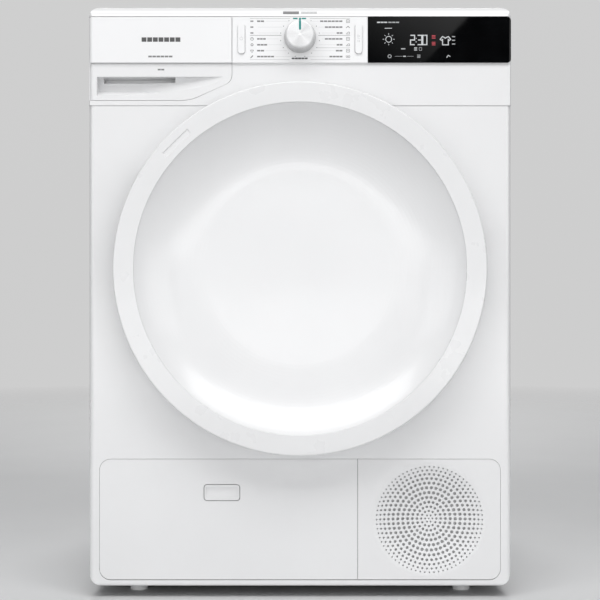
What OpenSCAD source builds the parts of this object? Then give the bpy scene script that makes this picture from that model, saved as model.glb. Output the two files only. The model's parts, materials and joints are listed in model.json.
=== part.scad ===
// Freestanding clothes dryer with a round dished door, a water tank drawer,
// a programme dial and display, a service flap and a perforated air grille.
// Millimetres. X runs to the viewer's right, Y to the back, Z up.
// The origin is on the floor, under the middle of the machine.

/* [Cabinet] */
// Overall width
width = 600; // [596:1:604]
// Overall height, floor to worktop
height = 842; // [841:1:846]
// Overall depth, door face to rear duct cover
depth = 625; // [620:1:632]
// Radius of the cabinet's front edges
edge_r = 8; // [6:1:9]
// Thickness of the painted steel sheet
sheet = 1.2; // [0.8:0.1:1.4]
// Gap under the cabinet
foot_gap = 17; // [16:1:20]

/* [Door] */
// How far the door stands in front of the cabinet
door_proud = 42.5; // [42:0.5:43]
// Height of the door's centre
door_z = 467; // [465:1:469]
// Outer radius of the door ring
door_r = 260; // [258:0.5:260]
// Inner radius of the door ring, where the dish starts
dish_r = 231; // [228:1:231]
// Slope of the dish at its edge, in degrees
dish_slope = 43; // [38:1:45]
// How far the door opens, in degrees (its joint limit)
door_open = 120; // [90:5:120]

/* [Drum] */
// Outside radius of the drum
drum_r = 284; // [282:1:284]
// Height of the drum's axis
drum_z = 505; // [504:1:506]

/* [Controls] */
// Bottom of the control housing
panel_z = 700; // [700:0.5:701]
// Bottom of the fascia strip
fascia_z = 759.4; // [758:0.2:761]
// Top of the fascia strip
fascia_top = 825.3; // [825:0.1:826]
// Half width of the middle fascia plate
fascia_half = 96; // [94:1:96]
// Height of the dial's axis
dial_z = 796; // [794:1:797]
// Radius of the dial at its foot
dial_r = 22.5; // [20:0.5:24]

/* [Plinth] */
// Half width of the plinth opening
plinth_half = 285; // [284:0.5:286]
// Top of the plinth opening
plinth_top = 197.8; // [197:0.2:199]
// Seam between the service flap and the air grille
plinth_split = 82; // [80:1:84]
// Number of rings of holes in the air grille
grille_rings = 12; // [4:1:12]

/* [Hidden] */
$fn = 96;

half_w = width / 2;
sheet_y = -depth / 2 + door_proud;          // outer face of the front sheet
rear_y = 297.2;                             // outer face of the rear sheet
seam = 0.6;                                 // visible gap between neighbouring panels
over = 1;                                   // how far a cutter runs past what it cuts
wrap_y = sheet_y + 18;                      // where the front sheet's wrapped edges end
cabinet_y = wrap_y + seam;                  // where side panels and worktop start
inner_y = 295.6;                            // inner face of the rear sheet
flange = 12;                                // width of the side panels' folded flanges
board = 18;                                 // thickness of the worktop
lap = 0.15;                                 // hairline between the front sheet and the housing
nose_r = 12.5;                              // rounding of the control housing's top edge
white = [0.93, 0.93, 0.94];
steel = [0.72, 0.73, 0.75];
dark = [0.16, 0.16, 0.17];

// Plinth
plinth_bottom = 25.4;
plinth_r = 16;
flap_axis = [-265.5, 43.5];                 // y and z of the flap's hinge
flap_pin_r = 1.5;
button_x = -111;
button_z = 149.7;
button_size = [50, 22];

// Grille disc, set back behind the panel's face
grille_x = 184;
grille_z = 111.4;
grille_r = 78;
grille_depth = 6;
grille_pitch = 6.2;

// Door profile, as radius and height above the front sheet
ring_low = 4;
ring_top = door_proud;
ring_edge = 2.5;
ring_wall = 3;
ring_lip = 2.6;                             // thickness of the lip that hides the dish's edge
ring_undercut = 5;                          // how far the ring's wall leans in at its back
opening_r = 203;
pocket_half = 32;                           // half the angle that the finger pocket spans
hinge_x = 247;
hinge_h = 24;
bulge_r = 194;
bulge_depth = 44.5;
dish_edge_h = 39.6;
dish_depth = 39.8;
dish_skin = 3;
dish_tuck = 3.2;                            // how far the dish runs under the ring's lip

// Drum and drive
drum_front = -228;
drum_rear = 232;
mouth_r = 245;
roller_r = 35;
roller_angle = 35;
run_gap = 0.3;                              // clearance between parts that roll on each other
motor_x = 183;
motor_z = 117;
pulley_r = 7;
belt_y = -80;
belt_w = 10;
belt_t = 2;
belt_step = 0.06;
belt_bite = 0.4;
idler_r = 18;
idler_pivot = [75, 110];

// Tank and its bay
tank_left = -283;
tank_right = -104;
tank_low = 714;
tank_high = 818;
tank_front = -252.4;
tank_back = 87;
tank_clear_r = 300;                         // the tank's belly curves round the drum
bay_front = -251;
drawer_low = 707;
drawer_split = fascia_z;
scoop_top = 740.5;
scoop_left = -288.5;
scoop_right = -108;
scoop_low = 713;
scoop_y = -254.5;
hollow_x = [-281, -178];                    // sides of the finger hollow behind the scoop
hollow_z = 733.5;
hollow_y = -241;

// Feet
foot_x = 236;
foot_front_y = -212;
foot_rear_y = 245;

// Lock levers on the condensing unit's cover
lever_x = [-248, -82];
lever_z = 90;

fascia_y = sheet_y - 4;                     // front face of the fascia
housing_y = sheet_y - 1;                    // front face of the housing below it
drawer_recess_y = -266.6;

// ---------- helpers ----------

// Points of an arc about c from angle a0 to a1
function arc(c, r, a0, a1, n = 8) =
    [for (i = [0:n]) let (a = a0 + (a1 - a0) * i / n) [c[0] + r * cos(a), c[1] + r * sin(a)]];

// A rectangle between two corners with rounded corners
module rounded(lo, hi, r) {
    translate([lo[0] + r, lo[1]]) square([hi[0] - lo[0] - 2 * r, hi[1] - lo[1]]);
    translate([lo[0], lo[1] + r]) square([hi[0] - lo[0], hi[1] - lo[1] - 2 * r]);
    for (x = [lo[0] + r, hi[0] - r])
        for (y = [lo[1] + r, hi[1] - r])
            translate([x, y]) circle(r);
}

// A box between two corners
module block(lo, hi) {
    translate(lo) cube(hi - lo);
}

// A shape drawn in x and z, from y0 to y1
module along_y(y0, y1) {
    translate([0, y1, 0]) rotate([90, 0, 0]) linear_extrude(y1 - y0) children();
}

// A shape drawn in y and z, from x0 to x1
module along_x(x0, x1) {
    translate([x0, 0, 0]) rotate([90, 0, 90]) linear_extrude(x1 - x0) children();
}

// A profile of radius and height turned about an axis that points to the front
module turned(centre) {
    translate(centre) rotate([90, 0, 0]) rotate_extrude($fn = 180) children();
}

// A rod along y
module rod(centre, r, y0, y1) {
    translate([centre[0], y1, centre[1]]) rotate([90, 0, 0]) cylinder(r = r, h = y1 - y0);
}

// A tube along y
module tube(centre, r_out, r_in, y0, y1) {
    difference() {
        rod(centre, r_out, y0, y1);
        rod(centre, r_in, y0 - over, y1 + over);
    }
}

// A rectangle whose front corners are rounded, drawn in x and y
module plan_edge(x0, x1, y0, y1, r) {
    translate([x0 + r, y0]) square([x1 - x0 - 2 * r, y1 - y0]);
    translate([x0, y0 + r]) square([x1 - x0, y1 - y0 - r]);
    for (x = [x0 + r, x1 - r])
        translate([x, y0 + r]) circle(r);
}

// ---------- cabinet ----------

// The front sheet's outer or inner form, set in by t
module front_form(t, back) {
    corner_r = 20;
    hem_r = 4.5 - t;
    y0 = sheet_y + t;
    z0 = foot_gap + t;
    top = panel_z - lap + (t > 0 ? over : 0);
    intersection() {
        linear_extrude(top) plan_edge(-half_w + t, half_w - t, y0, back, edge_r - t);
        along_x(-half_w, half_w) {
            translate([y0, z0 + hem_r]) square([back - y0, top - z0 - hem_r]);
            translate([y0 + hem_r, z0]) square([back - y0 - hem_r, top - z0]);
            translate([y0 + hem_r, z0 + hem_r]) circle(hem_r);
        }
        along_y(y0 - over, back + over) {
            translate([-half_w + t, z0 + corner_r]) square([width - 2 * t, top]);
            rounded([-half_w + t, z0], [half_w - t, z0 + 200], corner_r);
        }
    }
}

module front_panel() {
    color(white) {
        difference() {
            front_form(0, wrap_y);
            front_form(sheet, wrap_y + over);
            rod([0, door_z], opening_r, sheet_y - over, sheet_y + 4);
            along_y(sheet_y - over, sheet_y + 4)
                rounded([-plinth_half, plinth_bottom], [plinth_half, plinth_top], plinth_r);
        }
        tube([0, door_z], opening_r + sheet, opening_r, sheet_y + 0.6, sheet_y + 13);
        plinth_flange();
    }
}

// Edge of the plinth opening, folded inwards, with a gap for the flap's hinge
module plinth_flange() {
    difference() {
        along_y(sheet_y + 0.6, sheet_y + 5)
            difference() {
                rounded([-plinth_half - sheet, plinth_bottom - sheet],
                        [plinth_half + sheet, plinth_top + sheet], plinth_r + sheet);
                rounded([-plinth_half, plinth_bottom], [plinth_half, plinth_top], plinth_r);
            }
        block([-plinth_half - 2, sheet_y, 36], [-plinth_half + over, sheet_y + 6, 51]);
    }
}

// A long stiffening groove pressed inwards into a side sheet
module pressed_groove(side, z, cut) {
    half_len = 190;
    half_h = 22;
    drop = 3;
    inset = cut ? 0 : sheet;
    x_out = side * (half_w + over);
    x_in = side * (half_w - drop - (cut ? 0 : sheet));
    along_x(min(x_out, x_in), max(x_out, x_in))
        rounded([-half_len - inset, z - half_h - inset], [half_len + inset, z + half_h + inset], 20);
}

module side_panel(side) {
    low = foot_gap + 4;
    high = height - board - 1;
    outer = side * half_w;
    inner = side * (half_w - sheet);
    lip = side * (half_w - sheet - flange);
    color(white) {
        difference() {
            union() {
                block([min(outer, inner), cabinet_y, low], [max(outer, inner), inner_y, high]);
                intersection() {
                    union() for (z = [300, 560]) pressed_groove(side, z, false);
                    block([min(outer, outer - side * 5), -250, low],
                          [max(outer, outer - side * 5), 290, high]);
                }
            }
            for (z = [300, 560]) pressed_groove(side, z, true);
        }
        block([min(inner, lip), cabinet_y, low], [max(inner, lip), cabinet_y + sheet, high]);
        block([min(inner, lip), inner_y - sheet, low], [max(inner, lip), inner_y, high]);
        block([min(inner, lip), cabinet_y + sheet, low], [max(inner, lip), inner_y - sheet, low + sheet]);
        block([min(inner, lip), cabinet_y + sheet, high - sheet], [max(inner, lip), inner_y - sheet, high]);
    }
}

module rear_panel() {
    slot = [70, 5];
    color(steel)
    difference() {
        along_y(inner_y + 0.4, rear_y)
            difference() {
                rounded([-298.5, 22], [298.5, 822.5], 3);
                translate([0, drum_z]) circle(200);
                translate([-250, 740]) circle(9);
                translate([235, 700]) circle(12);
                for (row = [0:7])
                    for (column = [0:1])
                        translate([-255 + column * 90, 60 + row * 14]) square(slot);
            }
    }
}

module rear_cover() {
    r = 228;
    rise = depth / 2 - rear_y;
    color(steel)
    translate([0, rear_y, drum_z]) rotate([-90, 0, 0]) rotate_extrude($fn = 180)
        polygon(concat(
            [[0, rise - sheet], [0, rise], [30, rise], [34, rise - 4], [80, rise - 4], [84, rise]],
            arc([r - 28, rise - 9], 9, 90, 20, 6),
            [[r - 14, 1.6], [r, 1.6], [r, 0], [r - 15, 0]],
            arc([r - 28, rise - 9], 9 - sheet, 20, 90, 6),
            [[84, rise - sheet], [80, rise - 4 - sheet], [34, rise - 4 - sheet], [30, rise - sheet]]
        ));
}

module worktop() {
    low = height - board;
    lip_r = 5;
    side_r = 14;
    plan_r = 12;
    color(white)
    intersection() {
        translate([0, 0, low]) linear_extrude(board) {
            translate([-half_w, cabinet_y]) square([width, 200]);
            rounded([-half_w, cabinet_y], [half_w, rear_y], plan_r);
        }
        along_x(-half_w, half_w) {
            translate([cabinet_y, low]) square([rear_y - cabinet_y - lip_r, board]);
            translate([cabinet_y, low]) square([rear_y - cabinet_y, board - lip_r]);
            translate([rear_y - lip_r, height - lip_r]) circle(lip_r);
        }
        along_y(cabinet_y - over, rear_y + over) {
            translate([-half_w, low]) square([width, board - side_r]);
            translate([-half_w + side_r, low]) square([width - 2 * side_r, board]);
            for (x = [-half_w + side_r, half_w - side_r])
                translate([x, height - side_r]) circle(side_r);
        }
    }
}

// ---------- controls ----------

// Outline of the drawer front in x and z; grow moves it outwards
module drawer_outline(grow) {
    left = -half_w + 0.5 - grow;
    right = -fascia_half - 0.8 + grow;
    low = drawer_low - grow;
    polygon(concat(
        [[left, fascia_top - seam + grow], [left, low]],
        arc([-169.6, low + 62], 62, 270, 294, 6),
        arc([right - 15, 743.3], 15, 294, 360, 8),
        [[right, fascia_top - seam + grow]]
    ));
}

// Side profile of the control housing, set in by t
function housing_profile(t, back) = concat(
    [[housing_y + t, panel_z - (t > 0 ? over : 0)], [housing_y + t, fascia_top + 0.4 - t],
     [fascia_y + t, fascia_top + 0.4 + t * 0.4]],
    arc([fascia_y + nose_r + 1, height - 2 - nose_r], nose_r - t, 175, 95, 10),
    [[back, height - 2 - t], [back, panel_z - (t > 0 ? over : 0)]]
);

module housing_form(t, back) {
    corner_r = 17;
    intersection() {
        along_x(-half_w + t, half_w - t) polygon(housing_profile(t, back));
        translate([0, 0, panel_z - over]) linear_extrude(200)
            plan_edge(-half_w + t, half_w - t, fascia_y + t, back, edge_r - t);
        along_y(fascia_y - over, back + over) {
            translate([-half_w + t, panel_z - over]) square([width - 2 * t, 80]);
            rounded([-half_w + t, panel_z - over], [half_w - t, height - 2 - t], corner_r);
        }
    }
}

module control_housing() {
    wall = 3;
    color(white) {
        difference() {
            housing_form(0, wrap_y);
            housing_form(wall, wrap_y + over);
            along_y(fascia_y - over, drawer_recess_y) drawer_outline(seam);
            along_y(housing_y + over, wrap_y) {
                rounded([-293, 710.6], [-99.5, 821], 2);
                rounded([112, 768], [286, 818], 2);
            }
            for (x = [-83, 83])
                along_y(housing_y - over, wrap_y)
                    rounded([x - 5.8, 771.6], [x + 5.8, 815.8], 4.8);
            along_y(housing_y - over, housing_y + 10)
                rounded([112, 768], [286, 818], 2);
            rod([0, dial_z], 5, housing_y - over, wrap_y);
        }
        intersection() {
            housing_form(0, wrap_y);
            difference() {
                along_y(drawer_recess_y - 3, drawer_recess_y + 3) drawer_outline(seam + 2);
                along_y(drawer_recess_y - 4, drawer_recess_y) drawer_outline(seam);
                along_y(drawer_recess_y - over, drawer_recess_y + 4)
                    rounded([-293, 710.6], [-99.5, 821], 2);
            }
        }
    }
}

module fascia_plate() {
    color([0.96, 0.96, 0.97])
    difference() {
        along_y(fascia_y, housing_y - 0.2)
            rounded([-fascia_half, fascia_z + 0.6], [fascia_half - 0.2, fascia_top - 0.3], 0.4);
        rod([0, dial_z], 4.3, fascia_y - over, housing_y);
        for (x = [-83, 83])
            along_y(fascia_y - over, housing_y)
                rounded([x - 5.3, 772.1], [x + 5.3, 815.3], 4.3);
    }
}

module display_glass() {
    color([0.03, 0.03, 0.035])
    intersection() {
        along_y(fascia_y - over, housing_y - 0.2) {
            rounded([fascia_half + 20, fascia_z + 0.6], [half_w - 0.5, fascia_top - 0.3], 6);
            translate([fascia_half + 0.2, fascia_z + 0.6]) square([100, fascia_top - fascia_z - 0.9]);
        }
        translate([0, 0, fascia_z]) linear_extrude(80)
            plan_edge(-half_w + 0.5, half_w - 0.5, fascia_y, housing_y, 2.8);
    }
}

module display_board() {
    color([0.1, 0.35, 0.2]) {
        block([-90, -262, 764], [284, -260.4, 820]);
        block([120, -260.4, 775], [180, -254, 810]);
        block([200, -260.4, 772], [240, -250, 800]);
        block([-40, -260.4, 770], [-10, -252, 790]);
        rod([20, 784], 6, -260.4, -246);
    }
}

module selector_knob() {
    face = 22.5;
    color([0.9, 0.9, 0.91]) {
        translate([0, fascia_y - seam, dial_z]) rotate([90, 0, 0]) rotate_extrude()
            polygon(concat(
                [[0, 0], [dial_r - 0.6, 0], [dial_r, 0.8], [dial_r - 0.4, 5]],
                [[dial_r - 2.2, 13]],
                arc([dial_r - 5.6, face - 2.6], 2.6, 12, 90, 6),
                [[0, face - 0.4]]
            ));
        rod([0, dial_z], 3.9, fascia_y - seam, -263);
    }
}

module pill_button(x) {
    color([0.97, 0.97, 0.98]) {
        along_y(fascia_y - 2.2, -266)
            rounded([x - 4.9, 772.5], [x + 4.9, 814.9], 3.9);
    }
}

// ---------- water tank drawer ----------

module tank_fascia() {
    color([0.96, 0.96, 0.97])
    intersection() {
        along_y(fascia_y - over, drawer_recess_y - seam) {
            rounded([-half_w + 0.5, drawer_split + 0.6], [-fascia_half - 0.8, fascia_top - seam], 3);
            translate([-160, drawer_split + 0.6])
                square([160 - fascia_half - 0.8, fascia_top - seam - drawer_split - 0.6]);
        }
        translate([0, 0, fascia_z]) linear_extrude(80)
            plan_edge(-half_w + 0.5, half_w, fascia_y, wrap_y, edge_r - 1);
    }
}

// Lower edge of the finger scoop, falling from its right end to its left end
function scoop_edge(t) = [
    scoop_right + (scoop_left - scoop_right) * t,
    scoop_top - (scoop_top - scoop_low) * sqrt(sin(90 * t))
];

module scoop() {
    block([hollow_x[0], housing_y - over, hollow_z], [hollow_x[1], hollow_y, scoop_top]);
    intersection() {
        along_y(housing_y - over, scoop_y)
            polygon(concat([for (i = [0:16]) scoop_edge(i / 16)], [[scoop_left, scoop_top]]));
        translate([0, 0, scoop_low - over]) linear_extrude(40)
            polygon([[scoop_right, housing_y - over], [scoop_right, housing_y], [scoop_left + 60, scoop_y],
                     [scoop_left, scoop_y], [scoop_left, housing_y - over]]);
        along_x(scoop_left - over, scoop_right + over)
            polygon([[housing_y - over, scoop_low], [housing_y, scoop_low], [scoop_y, scoop_low + 9],
                     [scoop_y, scoop_top], [housing_y - over, scoop_top]]);
    }
}

module tank_grip() {
    color(white)
    difference() {
        union() {
            intersection() {
                along_y(housing_y, drawer_recess_y - seam)
                    intersection() {
                        drawer_outline(0);
                        translate([-half_w, 700]) square([half_w, drawer_split - 700]);
                    }
                translate([0, 0, panel_z]) linear_extrude(80)
                    plan_edge(-half_w + 0.5, half_w, housing_y, wrap_y, edge_r - 1);
            }
            block([scoop_left - 3, drawer_recess_y - seam, scoop_low - 1.6],
                  [-101, scoop_y + 1.8, scoop_top + 2.5]);
            block([hollow_x[0] - 1.5, scoop_y, hollow_z - 1.5],
                  [hollow_x[1] + 1.5, hollow_y + 1.5, scoop_top + 1.5]);
        }
        scoop();
    }
}

// Cross-section of the tank, shrunk by t
module tank_section(t) {
    difference() {
        translate([tank_left + t, tank_low + t])
            square([tank_right - tank_left - 2 * t, tank_high - tank_low - 2 * t]);
        translate([0, drum_z]) circle(tank_clear_r + t);
    }
}

// Room for the finger hollow in the parts behind the drawer's grip, grown by t
module hollow_niche(t) {
    block([tank_left - 0.6, tank_front - over, tank_low - 4],
          [hollow_x[1] + 3 + t, hollow_y + 2.8 + t, scoop_top + 3 + t]);
}

module water_tank() {
    wall = 2;
    color([0.85, 0.87, 0.9])
    difference() {
        along_y(tank_front, tank_back) tank_section(0);
        hollow_niche(0);
        difference() {
            along_y(tank_front + wall, tank_back - wall) tank_section(wall);
            hollow_niche(wall);
        }
        translate([0, 0, tank_high - wall - over]) linear_extrude(wall + 2 * over)
            rounded([-262, 10], [-190, 60], 12);
    }
}

module tank_bay() {
    color([0.8, 0.8, 0.82]) {
        difference() {
            along_y(bay_front, tank_back + 2)
                difference() {
                    translate([tank_left - 3, tank_low - 3]) square([tank_right - tank_left + 6, 108]);
                    translate([0, drum_z]) circle(tank_clear_r - 3);
                }
            along_y(bay_front - over, tank_back + 3)
                difference() {
                    translate([tank_left - 1, tank_low - 1]) square([tank_right - tank_left + 2, 120]);
                    translate([0, drum_z]) circle(tank_clear_r - 1);
                }
            hollow_niche(0.6);
        }
        along_y(tank_back + 2, tank_back + 4)
            difference() {
                translate([tank_left - 3, tank_low - 3]) square([tank_right - tank_left + 6, 106]);
                translate([0, drum_z]) circle(tank_clear_r - 3);
            }
    }
}

// ---------- plinth ----------

// A plinth cover between two heights' worth of outline, rounded only on its outer side
module plinth_outline(x0, x1) {
    intersection() {
        rounded([-plinth_half + 0.35, plinth_bottom + 1],
                [plinth_half - 0.35, plinth_top - 0.5], plinth_r - 0.5);
        translate([x0, 0]) square([x1 - x0, 300]);
    }
}

module access_flap() {
    color(white) {
        difference() {
            along_y(sheet_y + 0.5, sheet_y + 3.5) plinth_outline(-plinth_half, plinth_split - 0.3);
            along_y(sheet_y, sheet_y + 4)
                rounded([button_x - 25.9, button_z - 11.9], [button_x + 25.9, button_z + 11.9], 4.8);
            for (x = [-plinth_half - over, plinth_split - 5.4])
                along_x(x, x + 7) translate(flap_axis) circle(flap_pin_r + 0.1);
        }
        for (x = [-plinth_half + 0.8, plinth_split - 5.4])
            along_x(x, x + 5) translate(flap_axis)
                difference() {
                    circle(2.9);
                    circle(flap_pin_r + 0.1);
                }
    }
}

module flap_button() {
    half = button_size / 2;
    color(white)
    difference() {
        along_y(sheet_y + 0.8, sheet_y + 8)
            rounded([button_x - half[0], button_z - half[1]], [button_x + half[0], button_z + half[1]], 4);
        along_x(button_x - half[0] + 2.5, button_x + half[0] - 2.5)
            translate([sheet_y - 14, button_z + 1]) circle(16.6);
    }
}

// Radius, hole count and hole radius of one ring of the grille
function ring_radius(k) = grille_pitch * k;
function hole_radius(k) = 1.0 + 1.4 * sin(180 * k / 12.5);

module grille_holes() {
    for (k = [0:grille_rings])
        for (i = [0:max(1, 6 * k) - 1])
            translate([grille_x, grille_z]) rotate(360 * i / max(1, 6 * k))
                translate([ring_radius(k), 0]) circle(hole_radius(k), $fn = 24);
}

module grille_panel() {
    skin = 2.4;
    face = sheet_y + 0.5;
    color(white) {
        difference() {
            along_y(face, face + 3)
                difference() {
                    plinth_outline(plinth_split + 0.3, plinth_half);
                    translate([grille_x, grille_z]) circle(grille_r);
                }
            along_x(plinth_split, plinth_split + 5) translate(flap_axis) circle(flap_pin_r + 0.4);
        }
        tube([grille_x, grille_z], grille_r + skin, grille_r, face, face + grille_depth + skin);
        along_y(face + grille_depth, face + grille_depth + skin)
            difference() {
                translate([grille_x, grille_z]) circle(grille_r + 0.1);
                grille_holes();
            }
    }
}

// ---------- base ----------

module base_unit() {
    low = 22;
    top = 200;
    front = -247;
    back = 290;
    side = 285;
    wall = 3;
    fan_hole = 70;
    color([0.3, 0.3, 0.32]) {
        difference() {
            union() {
                block([-side, front, low], [side, back, low + 4]);
                block([-side, front, low + 4], [side, front + wall, top]);
                block([-side, back - wall, low + 4], [side, back, top]);
                for (x = [-side, -60, side - wall])
                    block([x, front + wall, low + 4], [x + wall, back - wall, top]);
                block([-side + wall, front + wall, top - 8], [-60, 200, top - 5]);
                for (x = [-foot_x, foot_x])
                    for (y = [foot_front_y, foot_rear_y])
                        translate([x, y, low + 4]) cylinder(r = 14, h = 14);
                tube([motor_x, motor_z], fan_hole + 2, fan_hole, front + wall, -205);
                tube([motor_x, motor_z], 82, 80, 190, 238);
                block([motor_x - 5, 190, low + 4], [motor_x + 5, 238, motor_z - 80.5]);
                block([-286.4, -268, 39], [-285.2, front + wall, 48]);
                block([-286.4, front, 39], [-side, front + wall, 48]);
                along_x(-286.4, -280.5) translate(flap_axis) circle(flap_pin_r);
                block([plinth_split + 1, -266.2, 39], [plinth_split + 3.4, front, 48]);
                along_x(plinth_split - 3.5, plinth_split + 3.4) translate(flap_axis) circle(flap_pin_r);
            }
            along_y(front - over, front + wall + over)
                rounded([-262, 48], [-68, 190], 4);
            rod([motor_x, motor_z], fan_hole, front - over, front + wall + over);
            for (x = [-foot_x, foot_x])
                for (y = [foot_front_y, foot_rear_y])
                    translate([x, y, low - over]) cylinder(r = 5.1, h = 24);
            for (x = [-250, -150])
                block([x, back - wall - over, 50], [x + 70, back + over, 170]);
        }
    }
}

module foot(x, y) {
    color([0.75, 0.75, 0.76])
    translate([x, y, 0]) {
        rotate_extrude()
            polygon([[0, 0], [11.8, 0], [12.6, 0.8], [12.6, 7], [11.6, 8], [5, 8], [5, 46], [0, 46]]);
        translate([0, 0, 8]) difference() {
            cylinder(r = 10, h = 6, $fn = 6);
            translate([0, 0, -over]) cylinder(r = 5, h = 8);
        }
    }
}

// ---------- door ----------

function ring_outer() = concat(
    [[door_r - ring_undercut, ring_low], [door_r, ring_low + 8]],
    arc([door_r - ring_edge, ring_top - ring_edge], ring_edge, 0, 90, 8),
    arc([dish_r + 1.2, ring_top - 1.2], 1.2, 90, 180, 5),
    [[dish_r, ring_top - ring_lip], [dish_r + dish_tuck + seam, ring_top - ring_lip]],
    [[dish_r + dish_tuck + seam, 30]]
);

module door_ring() {
    mark_angle = 134.5;
    mark_r = 244;
    w = ring_wall;
    skirt_r = dish_r + dish_tuck + seam + w;
    notch = [[35, 53], [-53, -35]];
    color([0.95, 0.95, 0.96])
    difference() {
        turned([0, sheet_y, door_z])
            polygon(concat(
                ring_outer(),
                [[skirt_r, 30], [skirt_r, ring_top - w]],
                [[door_r - w, ring_top - w], [door_r - w, ring_low + 8],
                 [door_r - ring_undercut - w, ring_low]]
            ));
        for (n = notch)
            block([218, sheet_y - ring_top + ring_lip, door_z + n[0]],
                  [door_r + over, sheet_y, door_z + n[1]]);
        block([236, sheet_y - 7, door_z - 76], [door_r + over, sheet_y, door_z + 76]);
        translate([mark_r * cos(mark_angle), sheet_y - ring_top, door_z + mark_r * sin(mark_angle)])
            rotate([0, 90 - mark_angle, 0]) sunk_mark([49, 8], 1.1, 1.3);
        finger_pocket(242, door_r + over, -over, 27);
    }
}

// A sunk rectangle with slanted sides, facing the front: size, depth and width of the slant
module sunk_mark(size, deep, slant) {
    half = size / 2;
    intersection() {
        along_x(-half[0] - over, half[0] + over)
            polygon([[-deep, -half[1] - slant], [0, -half[1]], [deep, -half[1] + slant],
                     [deep, half[1] - slant], [0, half[1]], [-deep, half[1] + slant]]);
        translate([0, 0, -half[1] - 3]) linear_extrude(size[1] + 6)
            polygon([[-half[0] - slant, -deep], [half[0] + slant, -deep], [half[0] - slant, deep],
                     [-half[0] + slant, deep]]);
    }
}

// Hollow behind the door's left side, where fingers pull it open, between two radii and heights
module finger_pocket(r0, r1, h0, h1) {
    translate([0, sheet_y, door_z]) rotate([90, 0, 0]) rotate([0, 0, 180 - pocket_half])
        rotate_extrude(angle = 2 * pocket_half, $fn = 180)
            translate([r0, h0]) square([r1 - r0, h1 - h0]);
}

// Front surface of the dish from its edge to the centre, as radius and height
function dish_front() = let (
    bend_r = dish_depth / (1 - cos(dish_slope)),
    bend_x = dish_r - bend_r * sin(dish_slope),
    floor_h = dish_edge_h - dish_depth
) concat(
    [[dish_r + dish_tuck, dish_edge_h], [dish_r, dish_edge_h]],
    [for (i = [1:20]) let (a = 270 + dish_slope * (1 - i / 20))
        [bend_x + bend_r * cos(a), floor_h + bend_r + bend_r * sin(a)]],
    [[0, floor_h]]
);

module door_dish() {
    front = dish_front();
    n = len(front);
    color([0.95, 0.95, 0.96])
    turned([0, sheet_y, door_z])
        polygon(concat(
            front,
            [for (i = [n - 1:-1:0]) [front[i][0], front[i][1] - dish_skin]]
        ));
}

module door_back() {
    skin = 2.5;
    low = 3.7;
    corner = 8;
    rim = door_r - ring_undercut - ring_wall - seam;
    color([0.86, 0.87, 0.88])
    difference() {
        union() {
            turned([0, sheet_y, door_z])
                polygon(concat(
                    [[rim, low + skin], [rim, low], [bulge_r, low]],
                    arc([bulge_r - 10 - corner, -bulge_depth + corner], corner, 0, -90, 6),
                    [[0, -bulge_depth], [0, -bulge_depth + skin]],
                    arc([bulge_r - 10 - corner, -bulge_depth + corner], corner - skin, -90, 0, 6),
                    [[bulge_r - skin, low + skin]]
                ));
            block([-103, sheet_y + 20, door_z - 124], [103, sheet_y + bulge_depth - 1, door_z - 24]);
        }
        block([-100, sheet_y + 22, door_z - 121], [100, sheet_y + bulge_depth + over, door_z - 27]);
        for (x = [-80:20:80])
            along_y(sheet_y + 30, sheet_y + bulge_depth + over)
                rounded([x - 4, door_z + 10], [x + 4, door_z + 118 - abs(x) * 0.4], 3.9);
        for (x = [-80:20:80])
            along_y(sheet_y + 18, sheet_y + 24)
                rounded([x - 5, door_z - 112], [x + 5, door_z - 36], 4.9);
        for (n = [[35, 53], [-53, -35]])
            block([218, sheet_y - 20, door_z + n[0]], [262, sheet_y, door_z + n[1]]);
        finger_pocket(234, 262, -over, 12);
    }
}

// Plate on the cabinet with two knuckles and the pin riveted between them
module hinge_bracket() {
    color(steel) {
        block([214, sheet_y - 2.4, door_z - 70], [hinge_x + 6, sheet_y - 0.05, door_z + 70]);
        for (z = [-50, 38])
            translate([0, 0, door_z + z]) {
                block([hinge_x - 6, sheet_y - hinge_h, 0], [hinge_x + 6, sheet_y - 2.4, 12]);
                translate([hinge_x, sheet_y - hinge_h, 0]) cylinder(r = 6, h = 12);
            }
        translate([hinge_x, sheet_y - hinge_h, door_z - 53]) cylinder(r = 3.5, h = 106);
    }
}

module door_catch() {
    color(steel)
    difference() {
        along_y(sheet_y - 2.4, sheet_y - 0.05)
            rounded([-230, door_z - 24], [-211, door_z + 24], 3);
        for (z = [-16, 16])
            rod([-220.5, door_z + z], 2.2, sheet_y - 3, sheet_y);
    }
}

module hinge_leaf() {
    color(steel)
    difference() {
        union() {
            translate([hinge_x, sheet_y - hinge_h, door_z - 33]) cylinder(r = 5.6, h = 66);
            block([hinge_x - 12, sheet_y - hinge_h - 3, door_z - 33],
                  [hinge_x - 2, sheet_y - 6.4, door_z + 33]);
        }
        translate([hinge_x, sheet_y - hinge_h, door_z - 80]) cylinder(r = 3.55, h = 160);
    }
}

module door_screws() {
    color(steel)
    for (a = [30, 75, 105, 255, 285, 330])
        translate([222 * cos(a), 0, door_z + 222 * sin(a)])
            turned([0, sheet_y - 3.6, 0]) polygon([[0, -1.4], [2.4, -1.4], [4, 0], [0, 0]]);
}

module lint_filter() {
    color([0.35, 0.6, 0.62])
    difference() {
        block([-99.4, sheet_y + 22.6, door_z - 120.4], [99.4, sheet_y + bulge_depth - 0.2, door_z - 27.6]);
        block([-93, sheet_y + 20, door_z - 114], [93, sheet_y + 40, door_z - 34]);
        for (x = [-84:24:84])
            along_y(sheet_y + 38, sheet_y + bulge_depth + over)
                rounded([x - 9, door_z - 110], [x + 9, door_z - 52], 3);
    }
}

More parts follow.
